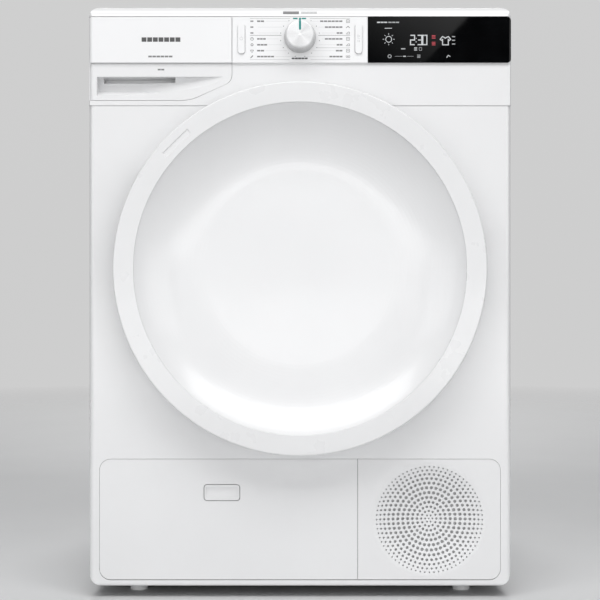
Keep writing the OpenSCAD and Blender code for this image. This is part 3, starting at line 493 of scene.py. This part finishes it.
def rounded(x0, z0, x1, z1, radii, count=8):
    """A rectangle whose corners have these radii, from the lower left round."""
    lower_left, lower_right, upper_right, upper_left = radii
    return (bend(x0 + lower_left, z0 + lower_left, lower_left, 180, 270, count)
            + bend(x1 - lower_right, z0 + lower_right, lower_right, 270, 360, count)
            + bend(x1 - upper_right, z1 - upper_right, upper_right, 0, 90, count)
            + bend(x0 + upper_left, z1 - upper_left, upper_left, 90, 180, count))


def plate(bm, outline, front, back):
    """A flat solid with that outline in the front plane."""
    faces = [[bm.verts.new((x, y, z)) for x, z in outline] for y in (front, back)]
    bm.faces.new(faces[0])
    bm.faces.new(faces[1][::-1])
    for i in range(len(outline)):
        j = (i + 1) % len(outline)
        bm.faces.new((faces[0][i], faces[1][i], faces[1][j], faces[0][j]))


def bar(bm, line, width, front, back, closed=False):
    """A flat bar along a line in the front plane, with mitred bends."""
    points = [Vector(p) for p in line]
    count = len(points)
    sections = []
    for i, point in enumerate(points):
        before = points[i - 1] if closed or i else None
        after = points[(i + 1) % count] if closed or i < count - 1 else None
        ways = []
        if before is not None:
            ways.append((point - before).normalized())
        if after is not None:
            ways.append((after - point).normalized())
        sides = [Vector((-way.y, way.x)) for way in ways]
        middle = sum(sides, Vector((0, 0))).normalized()
        offset = middle * (width / 2 / max(middle.dot(sides[0]), 0.4))
        a, b = point + offset, point - offset
        sections.append([bm.verts.new((q.x, y, q.y))
                         for q, y in ((a, front), (b, front), (b, back), (a, back))])
    for i in range(count if closed else count - 1):
        one, two = sections[i], sections[(i + 1) % count]
        for k in range(4):
            bm.faces.new((one[k], one[(k + 1) % 4], two[(k + 1) % 4], two[k]))
    if not closed:
        bm.faces.new(sections[0][::-1])
        bm.faces.new(sections[-1])


class Print:
    """Ink on a flat front face: bars and plates a hair proud of it."""

    def __init__(self, face, line=0.45):
        self.bm = bmesh.new()
        self.front = face - 0.12
        self.back = face + 0.1
        self.line = line

    def stroke(self, *points, width=None):
        bar(self.bm, points, width or self.line, self.front, self.back)

    def loop(self, points, width=None):
        bar(self.bm, points, width or self.line, self.front, self.back, closed=True)

    def fill(self, outline):
        plate(self.bm, outline, self.front, self.back)

    def words(self, x0, x1, z, height=1.5, letters=1.9):
        """A line of text as plain blocks, one for about each three letters."""
        count = max(1, round(abs(x1 - x0) / (3 * letters)))
        pitch = (x1 - x0) / count
        for i in range(count):
            start = x0 + i * pitch
            self.stroke((start, z), (start + pitch * 0.86, z), width=height)


# ------------------------------------------------------ plinth grille

GRILLE_X, GRILLE_Z, GRILLE_R = 184, 111.4, 78
DISH_DEPTH = 9
DISH_LIP = 5
GRILLE_SKIN = 2.2
RING_COUNT = 12
SCREEN_GAP = 1.2
HASH_CELL = 8


def dish_depth(r):
    """Depth of the grille's bowl at radius r, with a soft lip round it."""
    ball = (GRILLE_R ** 2 + DISH_DEPTH ** 2) / (2 * DISH_DEPTH)
    if r >= GRILLE_R + DISH_LIP:
        return 0
    inner = GRILLE_R - DISH_LIP
    if r <= inner:
        return math.sqrt(ball ** 2 - r ** 2) - (ball - DISH_DEPTH)
    edge = math.sqrt(ball ** 2 - inner ** 2) - (ball - DISH_DEPTH)
    t = (GRILLE_R + DISH_LIP - r) / (2 * DISH_LIP)
    return edge * t * t


def grille_holes():
    """(x, z, radius) of each hole: rings of 6k, widest and loosest half way out."""
    holes = [(GRILLE_X, GRILLE_Z, 0.95)]
    ring = 0
    for k in range(1, RING_COUNT + 1):
        # The gap to the next ring and the size of its holes swell and shrink again
        ring += 4.85 + 2.2 * math.sin(math.pi * (k - 0.5) / RING_COUNT)
        size = 0.95 + 1.4 * math.sin(math.pi * k / (RING_COUNT + 0.5))
        holes += [(x, z, size) for x, z in circle(GRILLE_X, GRILLE_Z, ring, 6 * k)]
    return holes


def make_grille():
    """The plinth's right panel, with its perforated bowl."""
    low, high = node_box("grille_panel")
    corner = 15.5
    outline = rounded(low.x, low.z, high.x, high.z, (0.3, corner, corner, 0.3), 10)
    holes = grille_holes()
    loops = [outline] + [circle(x, z, r, 12 if r < 1.6 else 16) for x, z, r in holes]
    loops += [circle(GRILLE_X, GRILLE_Z, GRILLE_R + d, 120) for d in (-2.5, 0, 2.5, 5)]
    points, edges = [], []
    for loop in loops:
        first = len(points)
        points += [Vector(p) for p in loop]
        edges += [(first + i, first + (i + 1) % len(loop)) for i in range(len(loop))]
    flat, _, faces, *_ = delaunay_2d_cdt(points, edges, [], 1, 1e-5)
    near = {}
    for x, z, r in holes:
        near.setdefault((round(x / HASH_CELL), round(z / HASH_CELL)), []).append((x, z, r))

    def in_hole(p):
        cell = (round(p.x / HASH_CELL), round(p.y / HASH_CELL))
        around = [h for i in (-1, 0, 1) for j in (-1, 0, 1)
                  for h in near.get((cell[0] + i, cell[1] + j), [])]
        return any((p.x - x) ** 2 + (p.y - z) ** 2 < (r * 0.97) ** 2 for x, z, r in around)

    bm = bmesh.new()
    sheets = []
    for skin in (0, GRILLE_SKIN):
        sheets.append([bm.verts.new(
            (p.x, low.y + skin + dish_depth(math.hypot(p.x - GRILLE_X, p.y - GRILLE_Z)), p.y))
            for p in flat])
    kept = [f for f in faces
            if not in_hole(sum((flat[i] for i in f), Vector((0, 0))) / len(f))]
    borders = {}
    for face in kept:
        bm.faces.new([sheets[0][i] for i in face])
        bm.faces.new([sheets[1][i] for i in reversed(face)])
        for i, j in zip(face, face[1:] + face[:1]):
            borders[frozenset((i, j))] = None if frozenset((i, j)) in borders else (i, j)
    for border in filter(None, borders.values()):
        i, j = border
        bm.faces.new((sheets[0][j], sheets[0][i], sheets[1][i], sheets[1][j]))
    loose = [v for v in bm.verts if not v.link_faces]
    bmesh.ops.delete(bm, geom=loose, context="VERTS")
    piece = add_piece("plinth_grille", bm, "cabinet",
                      EXTRA_LOOKS["flap_plastic"])
    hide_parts("grille_panel")


def make_screen():
    """The dust screen close behind the grille's bowl."""
    front = node_box("grille_panel")[0].y + GRILLE_SKIN + SCREEN_GAP
    bm = bmesh.new()
    radii = [0, 12, 24, 36, 48, 58, 66, 72, 76, 80]
    spans = 96
    skins = []
    for skin in (0, 1):
        rings = []
        for r in radii:
            y = front + skin + dish_depth(r)
            spots = circle(GRILLE_X, GRILLE_Z, r, spans) if r else [(GRILLE_X, GRILLE_Z)]
            rings.append([bm.verts.new((x, y, z)) for x, z in spots])
        for i in range(spans):
            bm.faces.new((rings[0][0], rings[1][i], rings[1][(i + 1) % spans]))
            for one, two in zip(rings[1:], rings[2:]):
                j = (i + 1) % spans
                bm.faces.new((one[i], two[i], two[j], one[j]))
        skins.append(rings[-1])
    for i in range(spans):
        j = (i + 1) % spans
        bm.faces.new((skins[0][i], skins[1][i], skins[1][j], skins[0][j]))
    look = Look("dust_screen", Roughness=0.7)
    threads = look.add("ShaderNodeMath", operation="MULTIPLY")
    look.link(look.bands(0.9, "X"), threads.inputs[0])
    look.link(look.bands(0.9, "Z"), threads.inputs[1])
    look.colour(threads.outputs["Value"], shade(0.5, COOL), shade(0.72, COOL), 0.1, 0.6)
    look.relief(threads.outputs["Value"], 0.2)
    add_piece("grille_screen", bm, "cabinet", look.material)


make_grille()
make_screen()


# ---------------------------------------------------- control panel print

PLATE_FACE = node_box("fascia_plate")[0].y
DIAL_Z = DIAL_CENTRE[2]
STRIP_LOW = node_box("fascia_plate")[0].z
STRIP_HIGH = node_box("fascia_plate")[1].z
LIST_OUT = 71
ICON_X = 68
ROW_TOP = STRIP_HIGH - 6.4
ROW_PITCH = 8.35
TICK_R = 28

GREY_INK = ink("grey_ink", 0.22)
DARK_INK = ink("dark_ink", 0.09)
SOFT_INK = ink("soft_ink", 0.55)
TEAL_INK = ink("teal_ink", 0.34, (0.02, 0.72, 0.66))


def row_z(i):
    return ROW_TOP - ROW_PITCH * i


def tick_angle(i):
    """Angle above the horizontal of the dial's mark for row i."""
    return math.radians(56 - 22 * i)


def heart(x, z, s):
    lobes = bend(x - s / 2, z, s / 2, 180, 0, 6) + bend(x + s / 2, z, s / 2, 180, 0, 6)[1:]
    return lobes + [(x, z - 1.3 * s)]


def print_icon(ink_on, kind, x, z):
    """A small generic symbol about 5 mm across."""
    s = 2.1
    if kind == "ring":
        ink_on.loop(circle(x, z, s, 14))
        ink_on.stroke((x - 0.8, z + 0.4), (x + 0.8, z + 0.4))
    elif kind == "sun":
        ink_on.loop(circle(x, z, s * 0.75, 12), width=0.9)
    elif kind == "heart":
        ink_on.loop(heart(x, z, s))
    elif kind == "pen":
        ink_on.stroke((x - s, z - s), (x + s * 0.7, z + s * 0.7), width=1.3)
    elif kind == "box":
        ink_on.loop(rounded(x - s, z - s, x + s, z + s, (0.4,) * 4, 3))
        ink_on.stroke((x - s * 0.5, z), (x + s * 0.5, z), width=0.8)
    elif kind == "hanger":
        ink_on.stroke((x - 2.6, z - 1.1), (x, z + 1.2), (x + 2.6, z - 1.1), width=0.9)
    elif kind == "iron":
        ink_on.loop([(x - 2.2, z - 1.4), (x + 2.2, z - 1.4), (x + 2.2, z + 1.3),
                     (x + 0.2, z + 1.3)])
    elif kind == "pair":
        ink_on.loop(circle(x - 1.5, z, 1.3, 10))
        ink_on.loop(circle(x + 1.5, z, 1.3, 10))
    elif kind == "block":
        ink_on.words(x - 2.2, x + 2.2, z, 2, 0.75)


def print_fascia():
    """Programme lists left and right of the dial, as lines and blocks."""
    grey = Print(PLATE_FACE, 0.6)
    soft = Print(PLATE_FACE, 0.25)
    left = [("block", 10.6), ("block", 0), ("block", 0), ("ring", 12.9),
            ("sun", 14.9), ("heart", 10.6), ("pen", 24.7)]
    right = [("box", 32.3), ("hanger", 25.6), ("iron", 8.8), ("box", 25.6),
             ("iron", 8.8), ("box", 10), ("pair", 19)]
    for side, rows in ((-1, left), (1, right)):
        words_x = side * (ICON_X - 7.2)
        for i, (kind, length) in enumerate(rows):
            z = row_z(i)
            print_icon(grey, kind, side * ICON_X, z)
            end = words_x - side * length
            if length:
                grey.words(min(words_x, end), max(words_x, end), z, 2.1, 1.7)
            a = tick_angle(i)
            tick = (side * TICK_R * math.cos(a), DIAL_Z + TICK_R * math.sin(a))
            grey.fill(circle(*tick, 0.65, 8))
            soft.stroke((end - side * 1.5, z), (side * (TICK_R + 3) * math.cos(a), z))
    top = STRIP_HIGH - 2.5
    low = STRIP_LOW + 4.3
    for side in (-1, 1):
        soft.stroke((side * LIST_OUT, top), (side * 14, top), width=0.7)
        grey.stroke((side * LIST_OUT, row_z(2.4)), (side * 26, row_z(2.4)), width=0.5)
        soft.stroke((side * LIST_OUT, low), (side * 15, low), width=0.5)
    soft.stroke((LIST_OUT, row_z(4.5)), (22.5, row_z(4.5)), width=0.6)
    dark = Print(PLATE_FACE)
    dark.words(-11.7, 11.4, low + 1.6, 2.2, 1.5)
    add_piece("fascia_caption", dark.bm, "cabinet", DARK_INK)
    add_piece("fascia_print", grey.bm, "cabinet", GREY_INK)
    add_piece("fascia_lines", soft.bm, "cabinet", SOFT_INK)

    teal = Print(PLATE_FACE)
    teal.words(-9.9, -2.4, top, 1.9)
    teal.words(2.4, 9.6, top, 1.9)
    teal.stroke((0, top + 1), (0, DIAL_Z + 22), width=2.9)
    add_piece("fascia_accent", teal.bm, "cabinet", TEAL_INK)


print_fascia()


# ------------------------------------------------------- dial and buttons


def make_pointer():
    """The dial's pointer, a rounded inlay from the rim inward."""
    face = node_box("selector_knob")[0].y
    bm = bmesh.new()
    rim = DIAL_Z + 18.6
    end = DIAL_Z + 6.9
    half = 1.45
    outline = [(-half, rim)] + bend(0, end, half, 180, 360, 8) + [(half, rim)]
    plate(bm, outline, face - 0.25, face + 1.2)
    add_piece("dial_pointer", bm, "dial", TEAL_INK)


def print_buttons():
    """A power symbol and a start symbol, in pale grey."""
    low, high = node_box("power_button")
    x = (low.x + high.x) / 2
    z = (low.z + high.z) / 2
    power = Print(low.y, 0.4)
    power.stroke(*bend(x, z, 2.2, 120, 420, 16))
    power.stroke((x, z + 0.8), (x, z + 3.0))
    add_piece("power_symbol", power.bm, "button_l", SOFT_INK)

    low, high = node_box("start_button")
    x = (low.x + high.x) / 2
    start = Print(low.y, 0.4)
    start.loop([(x - 1.3, z + 1.6), (x - 1.3, z + 5.2), (x + 1.7, z + 3.4)])
    start.stroke((x - 1.6, z - 0.2), (x + 1.6, z - 0.2))
    for side in (-1, 1):
        start.stroke((x + side, z - 2.2), (x + side, z - 5.2), width=0.6)
    add_piece("start_symbol", start.bm, "button_r", SOFT_INK)


def print_drawer():
    """Plain generic marks on the tank drawer."""
    face = node_box("tank_fascia")[0].y
    x = -197
    dark = Print(face)
    dark.words(x - 27.5, x + 28.5, 792.6, 6.2, 2.6)
    soft = Print(face)
    soft.words(x - 18, x + 17, 768.6, 2.4)
    add_piece("drawer_badge", dark.bm, "drawer", DARK_INK)
    add_piece("drawer_print", soft.bm, "drawer", GREY_INK)
    mark = Print(node_box("tank_grip")[0].y)
    mark.words(x - 5, x + 5, 750.6, 2.2)
    add_piece("drawer_mark", mark.bm, "drawer", GREY_INK)


# Centre and radius of the control housing's rounded top edge, in y and z
NOSE_Y, NOSE_Z, NOSE_R = -260.5, 827.5, 12.5
INK_RISE = 0.12


def print_nose():
    """A bold bar and a thin one on the rounded top edge over the dial."""
    for name, x0, x1, z0, z1, material in (
            ("nose_bold", -24, -1.5, 828.8, 833, GREY_INK),
            ("nose_thin", 1.5, 24, 829.4, 832.6, SOFT_INK)):
        bm = bmesh.new()
        steps = 6
        rows = []
        for i in range(steps + 1):
            z = z0 + (z1 - z0) * i / steps
            up = math.asin((z - NOSE_Z) / NOSE_R)
            rows.append([bm.verts.new((x, NOSE_Y - r * math.cos(up), NOSE_Z + r * math.sin(up)))
                         for r in (NOSE_R + INK_RISE, NOSE_R - INK_RISE) for x in (x0, x1)])
        for one, two in zip(rows, rows[1:]):
            bm.faces.new((one[0], one[1], two[1], two[0]))
            bm.faces.new((one[2], two[2], two[3], one[3]))
            bm.faces.new((one[0], two[0], two[2], one[2]))
            bm.faces.new((one[1], one[3], two[3], two[1]))
        for row in (rows[0], rows[-1]):
            bm.faces.new((row[0], row[1], row[3], row[2]))
        add_piece(name, bm, "cabinet", material)


make_pointer()
print_buttons()
print_drawer()
print_nose()


# ----------------------------------------------------------- display print

GLASS_LOW, GLASS_HIGH = node_box("display_glass")
GLASS_FACE = GLASS_LOW.y
LIT = ink("lit_white", 0.34, (0.95, 0.98, 1.0), glow=0.32)
DIM = ink("dim_white", 0.3, (0.95, 0.98, 1.0), glow=0.12)
RED = ink("lit_red", 0.34, (1.0, 0.12, 0.16), glow=0.26)

DIGITS = {
    "2": [[(0, 1), (1, 1), (1, 0.5), (0, 0.5), (0, 0), (1, 0)]],
    "3": [[(0, 1), (1, 1), (1, 0), (0, 0)], [(0.1, 0.5), (0.8, 0.5)]],
    "0": [[(0.5, 1), (1, 1), (1, 0), (0, 0), (0, 1), (0.45, 1)]],
}


def print_digits(ink_on, x, z, width, height):
    """A running time of 2:30 with its lower left corner at (x, z)."""
    pen = 1.5
    places = (("2", 0), ("3", 1.75), ("0", 3.0))
    for digit, column in places:
        for line in DIGITS[digit]:
            ink_on.stroke(*[(x + (column + u) * width, z + v * height) for u, v in line],
                          width=pen)
    for up in (0.3, 0.68):
        ink_on.fill(circle(x + 1.38 * width, z + up * height, 0.75, 8))


def shirt(x, z, s):
    """Half round the outline of a shirt, mirrored for the other half."""
    half = [(0, 0.45), (0.25, 0.62), (0.55, 0.75), (0.95, 0.25), (0.72, 0.05),
            (0.52, 0.22), (0.52, -0.75)]
    right = [(x + u * s, z + v * s) for u, v in half]
    left = [(x - u * s, z + v * s) for u, v in reversed(half[1:])]
    return right + left


def print_display():
    """Lit symbols, faint ones and red ones on the display glass."""
    left, top = GLASS_LOW.x, GLASS_HIGH.z
    lit = Print(GLASS_FACE, 0.9)
    dim = Print(GLASS_FACE, 0.5)
    red = Print(GLASS_FACE, 0.7)

    lit.words(left + 13, left + 28, top - 8, 1.7)
    dim.words(left + 29, left + 45, top - 8, 1.7)
    lit.stroke((left + 23.8, top - 16.4), (left + 34.2, top - 16.4), width=0.9)

    sun_x, sun_z = left + 29.5, top - 32
    lit.loop(circle(sun_x, sun_z, 4.2, 20), width=0.9)
    for i in range(8):
        a = math.radians(45 * i)
        inner, outer = (6.4, 8.4)
        lit.stroke((sun_x + inner * math.cos(a), sun_z + inner * math.sin(a)),
                   (sun_x + outer * math.cos(a), sun_z + outer * math.sin(a)), width=0.7)

    print_digits(lit, left + 60.4, top - 39.6, 5.8, 13.2)

    for z in (top - 28.6, top - 38.1):
        for i in range(3):
            red.stroke((left + 90.6, z - 1.9 + 1.9 * i), (left + 95.8, z - 1.9 + 1.9 * i),
                       width=0.9)
    lit.loop(shirt(left + 109.9, top - 34, 7.8), width=1.3)
    for i in range(3):
        dim.words(left + 119.2, left + 124.3, top - 28.2 - 5.25 * i, 1.4)

    dim.words(left + 47, left + 54, top - 45.5, 1.7)
    for i in range(3):
        lit.stroke((left + 65.6, top - 47.4 + 1.7 * i), (left + 69.8, top - 47.4 + 1.7 * i),
                   width=0.9)
    dim.loop(rounded(left + 72.7, top - 47.8, left + 76.2, top - 43.6, (0.4,) * 4, 3))

    low = top - 56.1
    dim.loop(circle(left + 30.8, low, 2.3, 12), width=0.9)
    dim.stroke((left + 38.4, low), (left + 49, low), width=0.4)
    lit.words(left + 50, left + 54.6, low, 1.3)
    dim.stroke((left + 55.6, low), (left + 64.8, low), width=0.4)
    for i in range(3):
        dim.stroke((left + 69.8, low - 1.7 + 1.7 * i), (left + 74.4, low - 1.7 + 1.7 * i),
                   width=0.8)
    lit.stroke((left + 111.6, low - 2), (left + 114, low + 1.4), (left + 116.8, low - 0.4),
               width=1)

    add_piece("display_symbols", lit.bm, "cabinet", LIT)
    add_piece("display_faint", dim.bm, "cabinet", DIM)
    add_piece("display_warnings", red.bm, "cabinet", RED)


print_display()


# -------------------------------------------------- floor, cards and light


def stage_mesh(name, corners, material):
    mesh = bpy.data.meshes.new(name)
    mesh.from_pydata([Vector(c) * MM for c in corners], [], [range(len(corners))])
    mesh.materials.append(material)
    thing = bpy.data.objects.new(name, mesh)
    bpy.context.scene.collection.objects.link(thing)
    return thing


FLOOR_REACH = 4200
ROOM_RADIUS = 16000


def hide_from_light(thing):
    """Keeps a stage mesh from lighting or shading anything."""
    thing.visible_diffuse = False
    thing.visible_transmission = False
    thing.visible_volume_scatter = False
    thing.visible_shadow = False


def make_floor():
    """A pale floor that fades into the backdrop some metres away."""
    look = Look("floor", Roughness=0.6)
    look.colour(look.noise(400, 3), (0.70, 0.705, 0.71), (0.73, 0.735, 0.74))
    look.relief(look.noise(1.5, 3), 0.02)
    away = look.add("ShaderNodeTexGradient", gradient_type="SPHERICAL")
    look.link(look.placed(stretch=(1 / (FLOOR_REACH * MM),) * 3), away.inputs["Vector"])
    look.link(look.ramp(away.outputs["Fac"], [(0.02, (0,) * 3), (0.75, (1,) * 3)]),
              look.shader.inputs["Alpha"])
    corners = ((-1, -1, 0), (1, -1, 0), (1, 1, 0), (-1, 1, 0))
    stage_mesh("floor", [Vector(c) * FLOOR_REACH for c in corners], look.material)


def make_backdrop():
    """An even pale room round the stage, which lights nothing."""
    bm = bmesh.new()
    bmesh.ops.create_icosphere(bm, subdivisions=3, radius=ROOM_RADIUS)
    look = Look("backdrop", Base_Color=(0, 0, 0, 1), Roughness=1.0, Specular_IOR_Level=0.0)
    tone = look.ramp(look.noise(9000, 1), [(0.2, shade(0.6)), (0.8, shade(0.64))])
    look.link(tone, look.shader.inputs["Emission Color"])
    look.shader.inputs["Emission Strength"].default_value = 1.0
    bmesh.ops.scale(bm, vec=(MM, MM, MM), verts=bm.verts)
    mesh = bpy.data.meshes.new("backdrop")
    bm.to_mesh(mesh)
    bm.free()
    mesh.materials.append(look.material)
    room = bpy.data.objects.new("backdrop", mesh)
    bpy.context.scene.collection.objects.link(room)
    hide_from_light(room)
    room.visible_glossy = False


CARD_Y = -3000


def mirrored(x, z, y=CARD_Y):
    """Where the eye's ray, thrown back by the glass at (x, z), meets plane y."""
    t = (y - GLASS_FACE) / (EYE.y - GLASS_FACE)
    return (x + t * (x - EYE.x), y, z + t * (z - EYE.z))


def glow_card(name, corners, look_of):
    """A card that only mirrors see."""
    look = Look(name, Base_Color=(0, 0, 0, 1), Roughness=1.0, Specular_IOR_Level=0.0)
    look_of(look)
    card = stage_mesh(name, corners, look.material)
    card.visible_camera = False
    hide_from_light(card)


def make_cards():
    """A black flag for the glass, and a grey card with a slanted edge on it."""
    left, right = GLASS_LOW.x, GLASS_HIGH.x
    low, high = GLASS_LOW.z, GLASS_HIGH.z
    edge = 40
    glow_card("flag", [mirrored(left - edge, low - edge), mirrored(right + edge, low - edge),
                       mirrored(right + edge, high + edge), mirrored(left - edge, high + edge)],
              lambda look: look.gloss(look.noise(900), 0.9, 1.0))

    def sheen(look):
        start = Vector(mirrored(left + 20, low - 5))
        node = look.add("ShaderNodeTexGradient", gradient_type="LINEAR")
        reach = 1 / (330 * MM)
        vector = look.placed(start, stretch=(reach,) * 3, turn=(0, math.radians(58), 0))
        look.link(vector, node.inputs["Vector"])
        colours = look.ramp(node.outputs["Fac"], [(0.0, (0.02,) * 3), (0.4, (0.3,) * 3),
                                                  (1.0, (0.85,) * 3)])
        look.link(colours, look.shader.inputs["Emission Color"])
        look.shader.inputs["Emission Strength"].default_value = 1.0

    near = CARD_Y + 20
    glow_card("sheen", [mirrored(left - edge, low - edge, near),
                        mirrored(left + 42, low - edge, near),
                        mirrored(left + 180, high + edge, near),
                        mirrored(left - edge, high + edge, near)], sheen)


def area_light(name, place, aim, width, height, power, tint=(1, 1, 1)):
    light = bpy.data.lights.new(name, "AREA")
    light.shape = "RECTANGLE"
    light.size = width * MM
    light.size_y = height * MM
    light.energy = power
    light.color = tint
    thing = bpy.data.objects.new(name, light)
    thing.location = Vector(place) * MM
    way = (Vector(aim) - Vector(place)).normalized()
    thing.rotation_mode = "QUATERNION"
    thing.rotation_quaternion = way.to_track_quat("-Z", "Y")
    bpy.context.scene.collection.objects.link(thing)
    return thing


def make_light():
    world = bpy.data.worlds.new("studio")
    world.use_nodes = True
    backdrop = world.node_tree.nodes["Background"]
    backdrop.inputs["Color"].default_value = (0.97, 0.98, 1.0, 1)
    backdrop.inputs["Strength"].default_value = 0.12
    bpy.context.scene.world = world
    area_light("top_softbox", (0, -1500, 2400), (0, -250, 500), 3800, 1100, 52)
    area_light("front_softbox", (0, -4200, 800), (0, 0, 400), 4200, 1800, 16)
    area_light("low_softbox", (0, -3200, 250), (0, 0, 300), 4200, 400, 16)
    area_light("left_softbox", (-2400, -2400, 900), (0, -200, 450), 1600, 1600, 12)
    area_light("right_softbox", (2400, -2400, 900), (0, -200, 450), 1600, 1600, 12.5)
    area_light("back_softbox", (0, 3200, 2300), (0, 0, 500), 2400, 1600, 60)


make_floor()
make_backdrop()
make_cards()
make_light()
bpy.context.scene.view_settings.view_transform = "Standard"
